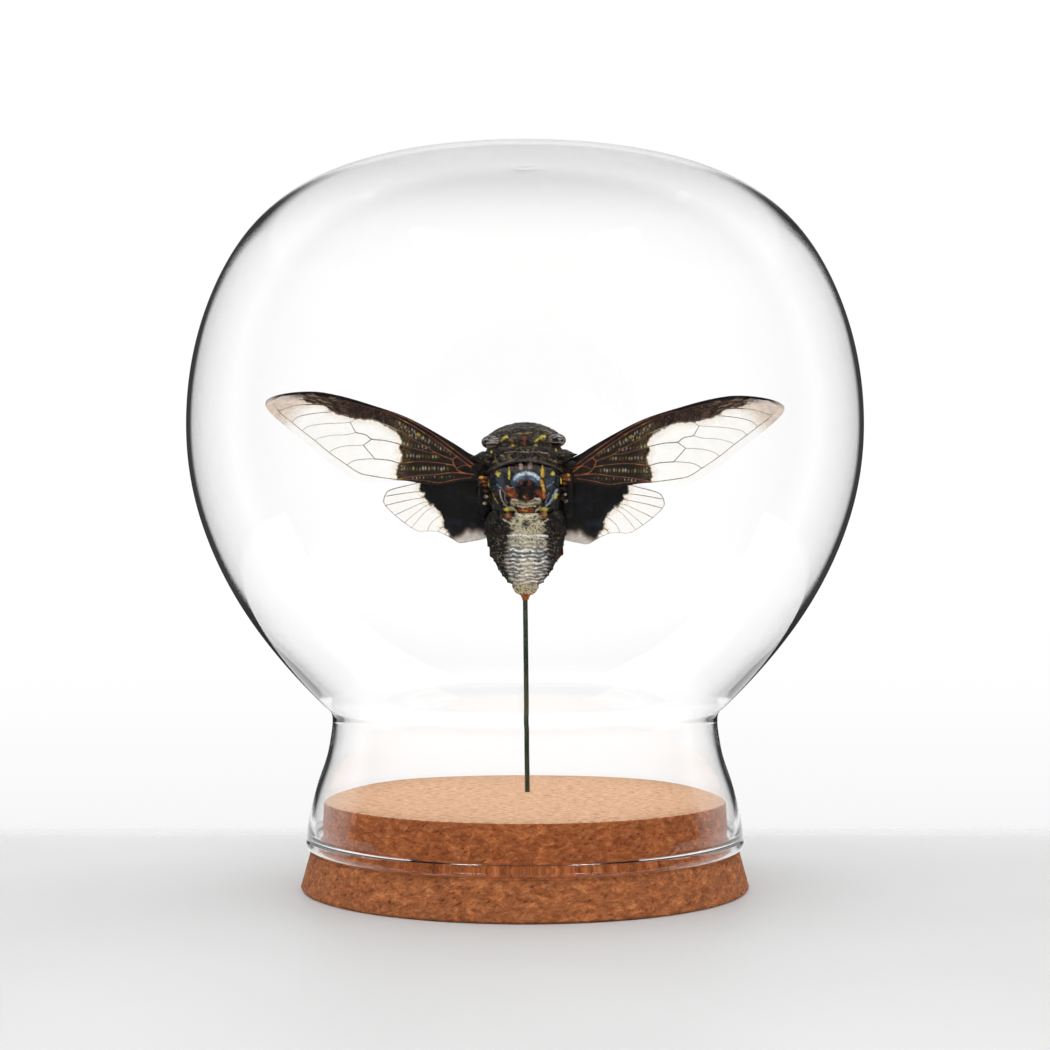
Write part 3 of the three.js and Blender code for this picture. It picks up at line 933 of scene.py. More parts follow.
# The pale band of the ramp below paints glints on the eye: painted highlights.
painted_glints = eye_finish.noise(520, 3, 0.6, eye_finish.stretched(0.5, 0.6, 2.6), 1.4)
eye_finish.set(
    Base_Color=eye_finish.ramp(
        painted_glints,
        (0.46, (0.008, 0.006, 0.005)),
        (0.53, (0.04, 0.03, 0.025)),
        (0.58, (0.34, 0.3, 0.27)),
        (0.63, (0.03, 0.02, 0.016)),
    ),
    Roughness=0.25,
    Coat_Weight=0.3,
)
eye_finish.bump(lattice, 0.4, 0.00006)
for side, sign in SIDES.items():
    bm = bmesh.new()
    add_ball(bm, (sign * EYE_PLACE[0], *EYE_PLACE[1:]), EYE_RADII, 64)
    make_piece(f"eye_{side}", bm, eye_finish.material, ["head"], leaning)

bm = bmesh.new()
for x, z in SIMPLE_EYES:
    add_ball(bm, (x, -3.75 + 0.35 * (z - 10.7), z), (0.32, 0.28, 0.32), 20)
decorate(bm, leaning, GARNET)
make_piece("simple_eyes", bm, shiny_shell, ["head"], leaning)

bm = bmesh.new()
add_ball(bm, (0, 3.7, 12.2), (2.8, 2.9, 2.6), 72)
for v in bm.verts:
    v.co.y += 0.12 * math.sin(v.co.z * 9) * ease(4.2, 5.4, v.co.y)
beak_radii = radii_along(40, (0, 1.0), (0.25, 0.7), (0.5, 0.5), (0.85, 0.42), (1, 0.15))
add_tubes(bm, [(along_curve(BEAK, 40), beak_radii)], 6)
decorate(bm, leaning, lambda x, z, where: BROWN.lerp(BLACK, ease(-2, 6, z)))
make_piece("face_and_beak", bm, rough_shell, ["head"], leaning)

bm = bmesh.new()
feeler_radii = radii_along(16, (0, 0.34), (0.22, 0.3), (0.25, 0.13), (1, 0.04))
for sign in SIDES.values():
    route = along_curve([(sign * x, y, z) for x, y, z in FEELER], 16)
    add_tubes(bm, [(route, feeler_radii)], 4)
decorate(bm, leaning, BROWN)
make_piece("feelers", bm, leg_shell, ["head"], leaning)

# %% [markdown]
# ## Collar
#
# The collar plate behind the head is a wide saddle. It has slanting grooves where muscles
# attach inside, a raised rim along its hind edge, and a pointed lobe at each side that covers
# the wing's root. Its hind edge bends down at the sides, round the shield of the back.

# %% Collar
COLLAR_STATIONS = [
    (9.15, 7.8, 4.2, 4.4),
    (8.6, 8.3, 4.7, 4.7),
    (7.6, 8.7, 5.0, 4.9),
    (6.6, 8.9, 5.2, 5.0),
    (6.1, 8.9, 5.3, 5.0),
    (5.8, 8.7, 5.1, 4.9),
]
COLLAR_MARKS = [
    Mark(BLACK, [(-1.2, 8.4), (-3.0, 7.0), (-2.6, 6.5)], 0.2, lift=-0.22),
    Mark(BLACK, [(1.1, 8.4), (2.9, 7.0), (2.5, 6.5)], 0.2, lift=-0.22),
    Mark(BLACK, [(-4.6, 8.3), (-6.0, 7.0), (-5.2, 6.2)], 0.22, lift=-0.22),
    Mark(BLACK, [(4.6, 8.3), (6.0, 7.0), (5.2, 6.2)], 0.22, lift=-0.22),
    Mark(PINK, [(-4.5, 7.75), (-2.2, 7.95), (0.2, 7.85), (2.6, 7.9), (4.9, 7.7)], 0.06, cover=0.9),
    Mark(YELLOW, [(-7.2, 8.2), (-7.05, 7.8), (-7.4, 7.5)], 0.2, soft=0.6),
    Mark(DULL_YELLOW, [(-7.4, 5.75), (-6.5, 5.95), (-5.8, 6.3)], 0.13, soft=0.6),
    Mark(YELLOW, [(6.5, 8.7), (6.75, 8.2), (6.6, 7.7)], 0.12, soft=0.6),
    Mark(DULL_YELLOW, [(5.2, 6.3), (6.1, 6.05), (6.9, 5.8)], 0.13, soft=0.6),
    Mark(PINK, [(-5.2, 7.2), (-4.6, 7.0)], 0.1, cover=0.6),
    Mark(DULL_YELLOW, [(-3.7, 6.9), (-3.0, 6.7)], 0.11, cover=0.8),
    Mark(DULL_YELLOW, [(3.3, 7.2), (4.0, 7.0)], 0.1, cover=0.7),
    Mark(GREY, [(-4.6, 6.4), (-3.0, 6.35), (-1.6, 6.5)], 0.07, cover=0.7),
    Mark(GREY, [(0.4, 6.6), (2.0, 6.5), (3.6, 6.3)], 0.07, cover=0.7),
]
COLLAR_TOP = COLLAR_STATIONS[0][0]
COLLAR_END = COLLAR_STATIONS[-1][0]
EDGE_DROP = 1.9
DROP_AT = 7.4  # this far from the middle the hind edge hangs down by EDGE_DROP


def edge_drop(x):
    """How far the hind edge hangs down at a place across the body."""
    return EDGE_DROP * min((x / DROP_AT) ** 2, 1.2)


def collar_colour(x, z, where):
    """Dark, worn brown, with a grey rim along the hind edge."""
    colour = mottled(BLACK.lerp(BROWN, ease(0.0, 0.7, noise.noise(where * 0.9))), where)
    rim = 1 - ease(0.12, 0.3, abs(z - COLLAR_END + edge_drop(x) - 0.35))
    return colour.lerp(GREY, 0.55 * rim * (0.6 + noise.noise(where * 1.7)))


bm = formed(along_curve(COLLAR_STATIONS, 34), 300)
for v in bm.verts:
    down = (COLLAR_TOP - v.co.z) / (COLLAR_TOP - COLLAR_END)
    v.co.z -= edge_drop(v.co.x) * down
    v.co.y *= 1 + 0.04 * ease(0.75, 0.9, down)
decorate(bm, leaning, collar_colour, COLLAR_MARKS, dents=0.12)
make_piece("collar_plate", bm, rough_shell, ["pronotum"], leaning)

# %% Lobes at the collar's sides: balls drawn out to a point
LOBE_CENTRE = Vector((8.5, -2.3, 6.9))
for side, sign in SIDES.items():
    bm = bmesh.new()
    add_ball(bm, (0, 0, 0), (1, 1, 1), 56)
    for v in bm.verts:
        point = ease(0.0, 1.0, v.co.x)
        x = v.co.x * 2.9
        y = v.co.y * (1.35 - 0.8 * point) + 0.1 * x
        z = v.co.z * (1.5 - 1.1 * point) + 0.12 * x
        v.co = LOBE_CENTRE + Vector((x, y, z))
        v.co.x *= sign
    bmesh.ops.recalc_face_normals(bm, faces=bm.faces[:])
    decorate(bm, leaning, collar_colour, dents=0.1)
    make_piece(f"collar_lobe_{side}", bm, rough_shell, ["pronotum"], leaning)

# %% [markdown]
# ## Shield of the back
#
# Behind the collar the back bulges in one polished black shield, with yellow flames in front,
# rust red patches in the middle and a raised pale cross at its tail, with painted highlights on
# its bars. A slate blue and white crescent on its dome is a painted reflection of a soft box above.
# Yellow knobs flank the cross. This is the shiniest part of the insect, so it has its own coat.
# Grooves set the shield apart from the plates that carry the wings.

# %% Shield
SHIELD_STATIONS = [
    (6.2, 7.4, 4.1, 4.6),
    (5.2, 8.1, 4.8, 4.9),
    (3.6, 8.4, 5.5, 5.2),
    (1.2, 8.4, 5.95, 5.5),
    (-1.0, 8.3, 5.6, 5.4),
    (-2.6, 8.1, 4.8, 5.3),
    (-3.8, 7.8, 4.2, 5.1),
    (-4.6, 7.3, 3.9, 5.0),
]
SHIELD_EDGE_LEFT = [(-7.2, 3.6), (-7.1, 1.4), (-6.5, -0.6), (-5.4, -2.5), (-3.9, -4.2)]
SHIELD_EDGE_RIGHT = [(7.2, 3.6), (7.2, 1.4), (6.7, -0.6), (5.8, -2.5), (4.2, -4.2)]
SHIELD_MARKS = [
    Mark(SLATE, [(-5.3, 1.6)], 1.0, 1.3, soft=0.9, cover=0.7),
    Mark(SLATE, [(5.4, 1.6)], 1.0, 1.4, soft=0.9, cover=0.7),
    Mark(PALE_BLUE, [(-6.1, 1.2), (-5.0, 0.4), (-4.6, -0.2)], 0.08, soft=0.8, cover=0.6),
    Mark(PALE_BLUE, [(4.6, 0.6), (5.4, 1.1), (6.2, 1.9)], 0.08, soft=0.8, cover=0.6),
    Mark(BLACK, SHIELD_EDGE_LEFT, 0.3, lift=-0.45),
    Mark(BLACK, SHIELD_EDGE_RIGHT, 0.3, lift=-0.45),
    Mark(PINK, [(-0.9, 5.3), (-0.8, 4.6)], 0.4, soft=0.6, cover=0.85),
    Mark(PINK, [(1.1, 5.3), (0.95, 4.6)], 0.4, soft=0.6, cover=0.85),
    Mark(BROWN, [(-2.0, 5.1), (-1.7, 4.6)], 0.3, soft=0.6),
    Mark(BROWN, [(2.1, 5.1), (1.9, 4.6)], 0.3, soft=0.6),
    Mark(DULL_YELLOW, [(0.1, 5.2), (0.1, 3.6)], 0.1),
    Mark(GOLD, [(-3.35, 4.9), (-3.35, 3.8)], 0.1),
    Mark(YELLOW, [(-3.35, 3.9), (-3.4, 2.3)], 0.17),
    Mark(YELLOW, [(3.7, 5.0), (3.7, 4.2)], 0.13),
    Mark(GOLD, [(3.7, 4.2), (3.7, 2.9)], 0.33, soft=0.5),
    Mark(YELLOW, [(3.55, 3.6), (3.5, 2.9)], 0.16, soft=0.6),
    Mark(YELLOW, [(-5.9, 3.6), (-5.7, 3.0)], 0.26, soft=0.6),
    Mark(YELLOW, [(-6.1, 3.35), (-5.4, 3.35)], 0.18, soft=0.6),
    Mark(YELLOW, [(5.9, 3.4)], 0.42, 0.4, soft=0.5),
    # The next six marks paint a blue and white crescent: a painted reflection of a soft box above, with
    # painted highlights at its top.
    Mark(SLATE, [(-2.2, 1.5), (-1.5, 2.4), (0.2, 2.9), (1.9, 2.5), (2.8, 1.7)], 0.95, soft=0.25),
    Mark(PALE_BLUE, [(-2.2, 2.2), (-1.3, 3.0), (0.2, 3.45), (1.7, 3.2), (2.8, 2.4)], 0.34, soft=0.6),
    Mark(WAX, [(-1.9, 2.65), (-1.2, 3.1), (-0.4, 3.3)], 0.16, soft=0.9, cover=0.6),
    Mark(WAX, [(0.8, 3.4), (1.6, 3.2), (2.3, 2.8)], 0.16, soft=0.9, cover=0.6),
    Mark(PALE_BLUE, [(-1.7, 1.7), (-1.2, 2.2), (-0.4, 2.5)], 0.07, soft=0.9, cover=0.5),
    Mark(PALE_BLUE, [(1.0, 2.4), (1.7, 2.1), (2.2, 1.6)], 0.07, soft=0.9, cover=0.5),
    Mark(BLACK, [(0.25, 0.7)], 1.75, 1.35, soft=0.3),
    Mark(RUST, [(-0.8, 1.3)], 0.3, 0.42, soft=0.8),
    Mark(RUST, [(0.95, 1.25)], 0.28, 0.45, soft=0.8),
    Mark(RUST, [(-3.6, 0.1), (-2.6, -0.4), (-2.2, -1.0)], 0.62, soft=0.5),
    Mark(PINK, [(-3.9, 0.9), (-3.3, 0.5), (-2.3, 0.45)], 0.1, soft=0.6),
    Mark(ORANGE, [(-3.5, -0.8), (-2.9, -1.1)], 0.24, soft=0.8, cover=0.8),
    Mark(GOLD, [(3.5, 1.9), (3.8, 0.6), (4.0, -0.2)], 0.3, soft=0.6),
    Mark(YELLOW, [(3.7, 1.1), (4.0, 0.1)], 0.14, soft=0.7),
    Mark(RUST, [(2.7, -0.3), (3.9, -1.3)], 0.5, soft=0.5),
    Mark(ORANGE, [(3.9, -0.3), (4.1, -1.5)], 0.22, soft=0.7),
    Mark(RUST, [(0.1, -1.0), (0.4, -1.7)], 0.35, soft=0.7, cover=0.8),
    Mark(PINK, [(-0.4, -1.3), (0.1, -1.6)], 0.14, soft=0.7, cover=0.7),
    Mark(PINK, [(-5.3, -0.1), (-5.1, -1.6), (-4.4, -2.8), (-3.3, -3.7)], 0.13, soft=0.6),
    Mark(PINK, [(-4.2, -0.6), (-4.3, -1.8), (-3.7, -2.7)], 0.09, soft=0.6, cover=0.7),
    Mark(PALE_BLUE, [(6.6, 0.2), (6.1, -1.0), (5.4, -2.2), (4.4, -3.2)], 0.14, soft=0.6),
    Mark(PALE_BLUE, [(5.0, -0.4), (4.8, -1.6), (4.3, -2.4)], 0.09, soft=0.6, cover=0.7),
    Mark(YELLOW, [(-6.6, -0.8), (-6.2, -1.8), (-5.8, -2.4)], 0.19, soft=0.5, lift=0.15),
    Mark(YELLOW, [(6.5, -0.8), (6.3, -1.6)], 0.22, soft=0.5, lift=0.15),
    Mark(BROWN, [(-7.7, 0.6), (-7.8, -2.6)], 0.5, soft=0.5, lift=0.15),
    Mark(BROWN, [(7.8, 0.6), (7.9, -2.6)], 0.5, soft=0.5, lift=0.15),
    Mark(BEIGE, [(-2.5, -2.5), (0.3, -3.05), (2.9, -2.2)], 0.55, soft=0.4, lift=0.35),
    Mark(BEIGE, [(-3.0, -3.4), (-2.1, -4.0), (-1.7, -4.6)], 0.14, soft=0.7, lift=0.1),
    Mark(BEIGE, [(3.3, -3.3), (2.6, -4.0), (2.2, -4.6)], 0.14, soft=0.7, lift=0.1),
    # These two pale bars are painted highlights on the cross.
    Mark(CREAM, [(-2.7, -1.95), (-1.7, -2.05)], 0.2, soft=0.5, lift=0.12),
    Mark(WAX, [(2.1, -1.75), (3.0, -1.8)], 0.2, soft=0.6, lift=0.1),
    Mark(BLACK, [(-2.6, -2.45), (0.3, -2.6), (2.8, -2.3)], 0.13, soft=0.6, cover=0.85),
    Mark(BLACK, [(-2.2, -3.0), (0.3, -3.3), (2.6, -2.9)], 0.1, soft=0.6, cover=0.8),
    Mark(CREAM, [(-1.7, -3.3), (0.3, -3.6), (2.2, -3.2)], 0.08, soft=0.6, cover=0.8),
    Mark(BLACK, [(0.3, -2.0), (0.3, -2.6)], 0.3, soft=0.6, cover=0.8),
    Mark(RUST, [(-0.9, -4.2), (1.4, -4.2)], 0.5, soft=0.6, lift=0.1),
    Mark(ORANGE, [(-0.5, -4.1), (0.4, -4.35)], 0.2, soft=0.8, lift=0.1),
    Mark(YELLOW, [(-4.2, -3.8), (-2.8, -3.85)], 0.32, soft=0.4, lift=0.4),
    Mark(CREAM, [(-3.9, -3.7), (-3.1, -3.75)], 0.12, soft=0.7, cover=0.7),
    Mark(YELLOW, [(3.4, -3.85), (4.7, -3.75)], 0.32, soft=0.4, lift=0.4),
    Mark(CREAM, [(3.7, -3.7), (4.4, -3.65)], 0.12, soft=0.7, cover=0.7),
]


def shield_colour(x, z, where):
    """Black, and brown in places along the sides."""
    worn = ease(0.2, 0.7, noise.noise(where * 0.8)) * ease(6.8, 7.6, abs(x))
    return BLACK.lerp(BROWN, 0.5 * worn)


bm = formed(along_curve(SHIELD_STATIONS, 84), 300)
decorate(bm, leaning, shield_colour, SHIELD_MARKS, wobble=0.16, dents=0.05)
make_piece("back_shield", bm, shiny_shell, ["thorax"], leaning)

# %% Hinge plates at the wing roots: small balls, each with its colour
HINGE_LUMPS = [
    ((8.3, -2.1, 2.6), (1.0, 0.7, 0.6), RUST),
    ((9.2, -2.2, 2.9), (0.6, 0.5, 0.4), GOLD),
    ((8.9, -2.3, 2.0), (0.8, 0.6, 0.35), ORANGE),
    ((9.5, -2.0, 1.4), (0.6, 0.5, 0.4), BROWN),
    ((8.4, -2.4, 1.2), (0.7, 0.5, 0.35), RUST),
    ((7.6, -2.9, 1.7), (0.22, 0.35, 1.0), YELLOW),
    ((8.1, -2.0, 0.1), (0.8, 0.7, 0.5), BROWN),
    ((8.4, -1.8, -1.0), (0.6, 0.6, 0.4), PINK),
    ((8.0, -2.0, -1.9), (0.5, 0.5, 0.4), BROWN),
    ((8.7, -1.5, -2.4), (0.5, 0.5, 0.4), PINK),
    ((9.5, -1.6, -0.3), (0.8, 0.6, 0.9), BLACK),
    ((9.0, -1.0, 3.6), (1.2, 1.4, 1.4), BLACK),
    ((9.3, -0.8, 0.0), (1.3, 1.4, 3.4), BLACK),
    ((9.0, -0.6, -3.4), (1.4, 1.3, 2.4), BLACK),
    ((9.7, -2.0, 5.1), (1.6, 0.9, 0.9), BLACK),
]
for side, sign in SIDES.items():
    bm = bmesh.new()
    layer = bm.verts.layers.float_color.new("markings")
    for (x, y, z), radii, colour in HINGE_LUMPS:
        before = len(bm.verts)
        add_ball(bm, (sign * x, y, z), radii, 24)
        bm.normal_update()
        bm.verts.ensure_lookup_table()
        for v in bm.verts[before:]:
            patch = ease(-0.2, 0.2, noise.noise(v.co * 1.4))
            v[layer] = (*colour.lerp(BLACK, 0.85 * patch), 1)
            v.co += v.normal * 0.12 * noise.noise(v.co * 1.9)
    make_piece(f"wing_hinge_{side}", bm, rough_shell, ["thorax"], leaning)

# %% [markdown]
# ## Abdomen
#
# The abdomen is a cone of overlapping rings. Each ring flares at its hind edge and tucks over
# the next. A silvery wax covers its middle in crosswise lines and is rubbed off in streaks.
# The rings need true steps, so the stations alternate between a flare and a step. The wax is a
# formula of place: its share falls to nothing at the sides, a warped wave makes the lines, and
# noise that is stretched crosswise breaks them. Between the lines the shell is slate blue and
# yellowish. The front rings and the tail are beige with black dots instead.

# %% Rings, as (height, half width), and the stations of the tail
RINGS = [
    (-4.65, 7.9),
    (-6.4, 8.75),
    (-9.2, 8.6),
    (-11.7, 7.9),
    (-13.5, 7.2),
    (-14.9, 6.6),
    (-16.7, 5.7),
    (-18.1, 4.8),
    (-19.6, 3.7),
]
RING_LIP = 0.28
RING_STEP = 0.14
TAIL = [
    (-20.0, 2.9, 2.0, 2.1),
    (-20.9, 2.8, 2.0, 2.1),
    (-22.0, 2.2, 1.7, 1.8),
    (-22.4, 1.75, 1.45, 1.55),
    (-22.6, 1.1, 1.1, 1.2),
    (-23.2, 0.85, 0.85, 0.95),
    (-23.9, 0.62, 0.6, 0.6),
]


def station(height, half_width):
    """A row for one height: the back and the belly get deeper with the width."""
    return (height, half_width, 1.2 + 0.375 * half_width, 1 + 0.5 * half_width)


ring_stations = []
for number, (height, half_width) in enumerate(RINGS):
    if number > 1:
        ring_stations += [
            station(height + 0.5, half_width + RING_LIP - 0.02),
            station(height + 0.12, half_width + RING_LIP),
            station(height, half_width + RING_LIP * 0.7),
        ]
    ring_stations.append(station(height - 0.08, half_width - 0.1))
abdomen_rows = filled([*ring_stations, *TAIL], RING_STEP)
print("rows along the abdomen:", len(abdomen_rows))

# %% Wax and other colours of the abdomen, by place
WAX_WIDTH = [(-20.5, 2.8), (-18, 4.0), (-15, 4.6), (-12, 4.3), (-9.3, 3.6), (-6, 3.3), (-4.9, 2.2)]
WAX_MIDDLE = 0.45
LINE_STEP = 0.86
FRONT_END = -9.2
TAIL_START = -20.0
TAIL_TIP = -22.45


def abdomen_colour(x, z, where):
    """Black rings with a crosswise wax bloom, beige in front and at the tail."""
    streak = noise.noise(Vector((x * 0.6, 3.1, z * 2.4)))
    fine = noise.noise(Vector((x * 2.6, 9.7, z * 7.0)))
    speck = noise.noise(Vector((x * 2.9, 1.3, z * 3.4)))
    black = BLACK.lerp(BROWN, ease(0.1, 0.6, fine))
    black = black.lerp(BEIGE, 0.55 * ease(0.38, 0.55, speck) * ease(-9.5, -4.5, -abs(x)))
    away = abs(x - WAX_MIDDLE) + 1.1 * streak
    width = value_at(WAX_WIDTH, z)
    middle = 1 - ease(width - 0.7, width + 0.5, away)
    dots = ease(0.08, 0.34, speck + 0.35 * fine)
    dotted = BEIGE.lerp(BLACK, 0.9 * dots)
    if z > FRONT_END:
        return black.lerp(dotted, middle)
    if z < TAIL_TIP:
        return ORANGE.lerp(RUST, ease(-0.3, 0.4, fine))
    if z < TAIL_START:
        return BEIGE.lerp(BLACK, 0.85 * dots)
    warp = 0.75 * noise.noise(Vector((x * 0.33, 5.0, z * 0.22)))
    warp += 0.3 * noise.noise(Vector((x * 1.0, 8.0, z * 0.7)))
    wave = math.sin(math.tau * (z + warp) / LINE_STEP)
    wave += 1.5 * noise.noise(Vector((x * 1.1, 2.2, z * 3.3)))
    front_ring = ease(-12.6, -10.6, z)
    line = ease(0.2, 0.8, wave + 0.5 * fine) * (1 - 0.6 * front_ring)
    core = ease(-2.4, -0.6, -abs(x - WAX_MIDDLE))
    ground = WAX_SHADOW.lerp(CREAM, 0.35 + 0.5 * core * ease(-0.4, 0.2, streak))
    ground = ground.lerp(BLACK, 0.85 * dots * (1 - 0.6 * core))
    ground = ground.lerp(DULL_YELLOW, 0.5 * ease(0.2, 0.45, -speck) * (1 - line))
    ground = ground.lerp(SLATE, 0.75 * ease(0.4, 1.1, -wave) * (1 - 0.6 * core))
    ground = ground.lerp(dotted, 0.65 * front_ring)
    blue_ring = ease(-15.0, -13.8, z) * ease(-12.0, -12.8, z)
    ground = ground.lerp(SLATE, 0.6 * blue_ring * (1 - line))
    ground = ground.lerp(WAX, line * ease(-0.5, 0.1, streak + 0.5 * core))
    thin = ease(0.75, 0.98, wave + 0.3 * streak) * ease(-8.0, -4.0, -abs(x))
    return black.lerp(GREY, 0.75 * thin).lerp(ground, middle)


FRONT_ARC = [(-2.0, -4.7), (-0.9, -5.2), (0.3, -5.35), (1.6, -5.2), (2.8, -4.7)]
ABDOMEN_MARKS = [
    Mark(CREAM, FRONT_ARC, 0.17, soft=0.5, lift=0.1),
    Mark(RUST, [(-3.5, -5.2)], 0.75, 0.7, soft=0.5, lift=0.45),
    Mark(DULL_YELLOW, [(-3.6, -5.2)], 0.35, 0.35, soft=0.9),
    Mark(RUST, [(4.0, -5.1)], 0.75, 0.7, soft=0.5, lift=0.45),
    Mark(DULL_YELLOW, [(4.1, -5.0)], 0.35, 0.35, soft=0.9),
    Mark(BLACK, [(-4.1, -4.6), (-2.9, -4.65)], 0.16, soft=0.5),
    Mark(BLACK, [(3.4, -4.6), (4.7, -4.55)], 0.16, soft=0.5),
    Mark(CREAM, [(-4.6, -5.9), (-3.4, -6.6), (-2.7, -7.4)], 0.13, soft=0.5, cover=0.7),
    Mark(CREAM, [(5.0, -5.9), (3.9, -6.6), (3.3, -7.4)], 0.13, soft=0.5, cover=0.7),
    Mark(BLACK, [(0.2, -6.9)], 0.85, 0.75, soft=0.6, cover=0.9),
    Mark(BLACK, [(-1.6, -6.2)], 0.35, 0.25, soft=0.6, cover=0.8),
    Mark(BLACK, [(2.0, -6.4)], 0.35, 0.3, soft=0.6, cover=0.8),
    Mark(WAX, [(-3.6, -9.45), (-1.5, -9.3), (0.6, -9.5), (2.6, -9.35), (4.8, -9.5)], 0.2, soft=0.5),
]
bm = formed(abdomen_rows, 280)
for v in bm.verts:
    v.co.z += 0.1 * noise.noise(Vector((v.co.x * 0.8, v.co.y * 0.8, v.co.z * 0.3)))
decorate(bm, on_wire, abdomen_colour, ABDOMEN_MARKS, wobble=0.1, dents=0.07)
make_piece("abdomen_rings", bm, waxy_shell, ["abdomen"], on_wire)

# %% Covers over the sound organs, and plates under the belly
def plate_bm(centre, radii, bulge, segments=64):
    """An oval plate, thin at its rim and domed outwards."""
    bm = bmesh.new()
    add_ball(bm, centre, radii, segments)
    for v in bm.verts:
        away = math.hypot((v.co.x - centre[0]) / radii[0], (v.co.z - centre[2]) / radii[2])
        v.co.y += bulge * (1 - min(away, 1.0) ** 2)
    return bm


def cover_colour(x, z, where):
    """Dull black with a sparse dust of pale specks."""
    speck = noise.noise(where * 2.6)
    dust = noise.noise(where * 5.3)
    colour = BLACK.lerp(BROWN, ease(0.0, 0.6, noise.noise(where * 0.7)) * 0.6)
    return colour.lerp(GREY, 0.7 * ease(0.42, 0.6, dust) + 0.3 * ease(0.45, 0.6, speck))


def belly_colour(x, z, where):
    """Brown behind, paler towards the front."""
    return BROWN.lerp(BEIGE, ease(-9, -4, z))


for side, sign in SIDES.items():
    bm = plate_bm((sign * 6.3, -1.9, -6.9), (2.3, 1.5, 2.9), -0.5)
    decorate(bm, on_wire, cover_colour, dents=0.16)
    make_piece(f"sound_cover_{side}", bm, waxy_shell, ["abdomen"], on_wire)
    bm = plate_bm((sign * 3.7, 4.6, -7.2), (3.3, 0.8, 4.0), 0.5)
    decorate(bm, on_wire, belly_colour, dents=0.1)
    make_piece(f"belly_plate_{side}", bm, leg_shell, ["abdomen"], on_wire)

# %% [markdown]
# ## Legs
#
# The six legs are folded against the belly, as on most mounted cicadas. Each has a short hip
# ball, a spindle-shaped thigh, a thin shin with spines and a foot of three little joints with
# two claws. All of these are round and tapered, so each is a tube whose radius changes along
# its way, and balls fill the joints. The front thighs are the thickest.

# %% Legs
LEGS = {
    "leg_front": [(2.6, 6.1, 4.9), (7.3, 7.0, 8.0), (7.0, 8.4, 3.3), (5.4, 8.9, 0.9)],
    "leg_middle": [(2.9, 6.5, 1.6), (7.6, 7.2, 3.1), (7.4, 8.0, -3.2), (5.9, 8.3, -5.6)],
    "leg_hind": [(3.0, 6.3, -1.7), (7.6, 6.9, -4.6), (7.6, 4.9, -13.4), (5.1, 5.6, -16.2)],
}
THIGH = ((0, 0.6), (0.35, 0.95), (0.8, 0.6), (1, 0.5))
FRONT_THIGH = ((0, 0.7), (0.4, 1.1), (0.8, 0.75), (1, 0.5))
SHIN = ((0, 0.5), (0.12, 0.34), (0.75, 0.36), (1, 0.42))
FOOT = ((0, 0.3), (0.25, 0.22), (0.3, 0.28), (0.55, 0.2), (0.6, 0.26), (1, 0.18))
SPINES = 5


def leg_colour(x, z, where):
    """Dark brown with rusty patches."""
    warm = ease(-0.1, 0.5, noise.noise(where * 0.55))
    return BLACK.lerp(BROWN, 0.5 + warm * 0.5).lerp(RUST, 0.8 * warm)


for name, joints in LEGS.items():
    for side, sign in SIDES.items():
        hip, knee, ankle, toe = [Vector((sign * x, y, z)) for x, y, z in joints]
        bend = Vector((0, -0.35, 0))
        routes = []
        for start, end, sag, widths in (
            (hip, knee, bend, FRONT_THIGH if name == "leg_front" else THIGH),
            (knee, ankle, bend * 0.6, SHIN),
            (ankle, toe, -bend * 0.5, FOOT),
        ):
            middle = (start + end) / 2 + sag
            routes.append((along_curve([start, middle, end], 24), radii_along(24, *widths)))
        shin = ankle - knee
        out = shin.cross(Vector((0, 1, 0))).normalized() * sign
        for number in range(SPINES):
            root = knee + shin * (0.3 + 0.14 * number)
            side_step = (out * 0.7 - Vector((0, 0.25, 0))) * (1 if number % 2 else -1)
            tip = root + side_step + shin * 0.05
            routes.append(([root, (root + tip) / 2, tip], [0.14, 0.09, 0.02]))
        foot = (toe - ankle).normalized()
        for spread in (-1, 1):
            claw = toe + foot * 0.5 + out * 0.35 * spread
            hook = claw + foot * 0.1 + Vector((0, -0.35, 0))
            routes.append(([toe, claw, hook], [0.14, 0.1, 0.03]))
        bm = bmesh.new()
        add_tubes(bm, routes, 5)
        for joint, radius in ((hip, 0.95), (knee, 0.56), (ankle, 0.4)):
            add_ball(bm, joint, (radius,) * 3, 24)
        decorate(bm, leaning, leg_colour, dents=0.05)
        make_piece(f"{name}_{side}_shell", bm, leg_shell, [f"{name}_{side}"], leaning)

# %% [markdown]
# ## Wings
#
# A cicada's wing is a thin skin stretched over tubular veins. The skin is dark and opaque near
# the body, with rows of pale flecks between the veins, and clear as film further out. On the
# fore wing a dark strip with pale streaks follows the leading edge, and the tip is tinted. A
# plain plate would show none of this, so each wing is two pieces: a fine grid shaped between
# the leading and the trailing edge, and a set of tubes along the veins. Colour and cover are
# painted on the grid's points by place, and cover drives the material's alpha.

# %% Wing outlines and veins, as (distance out, height) in millimetres
FOREWING_EDGE = [
    *[(9.9, 4.7), (11.5, 7.4), (16.7, 10.8), (24.9, 15.2), (33, 18), (40.2, 20), (46, 20.8)],
    *[(52.6, 20.2), (56, 18.6), (54.4, 15.7), (47.9, 10.4), (42.4, 6), (38.2, 3.2), (33.6, 1.3)],
    *[(26.6, 1.9), (20.7, 1.1), (18.1, 0.8), (15.6, 1.4), (9.9, 2.2)],
]
FOREWING_TIP = 8  # the place of the tip's point in the list
HINDWING_EDGE = [
    *[(9.7, 2.5), (13, 2.6), (16, 2.5), (23, 1.9), (27.9, 0.4), (30.4, -2.4), (27.9, -5.2)],
    *[(22.8, -8.8), (18.7, -8.7), (15.7, -10), (13.4, -11.1), (10.3, -10), (9.7, -7)],
]
HINDWING_TIP = 5
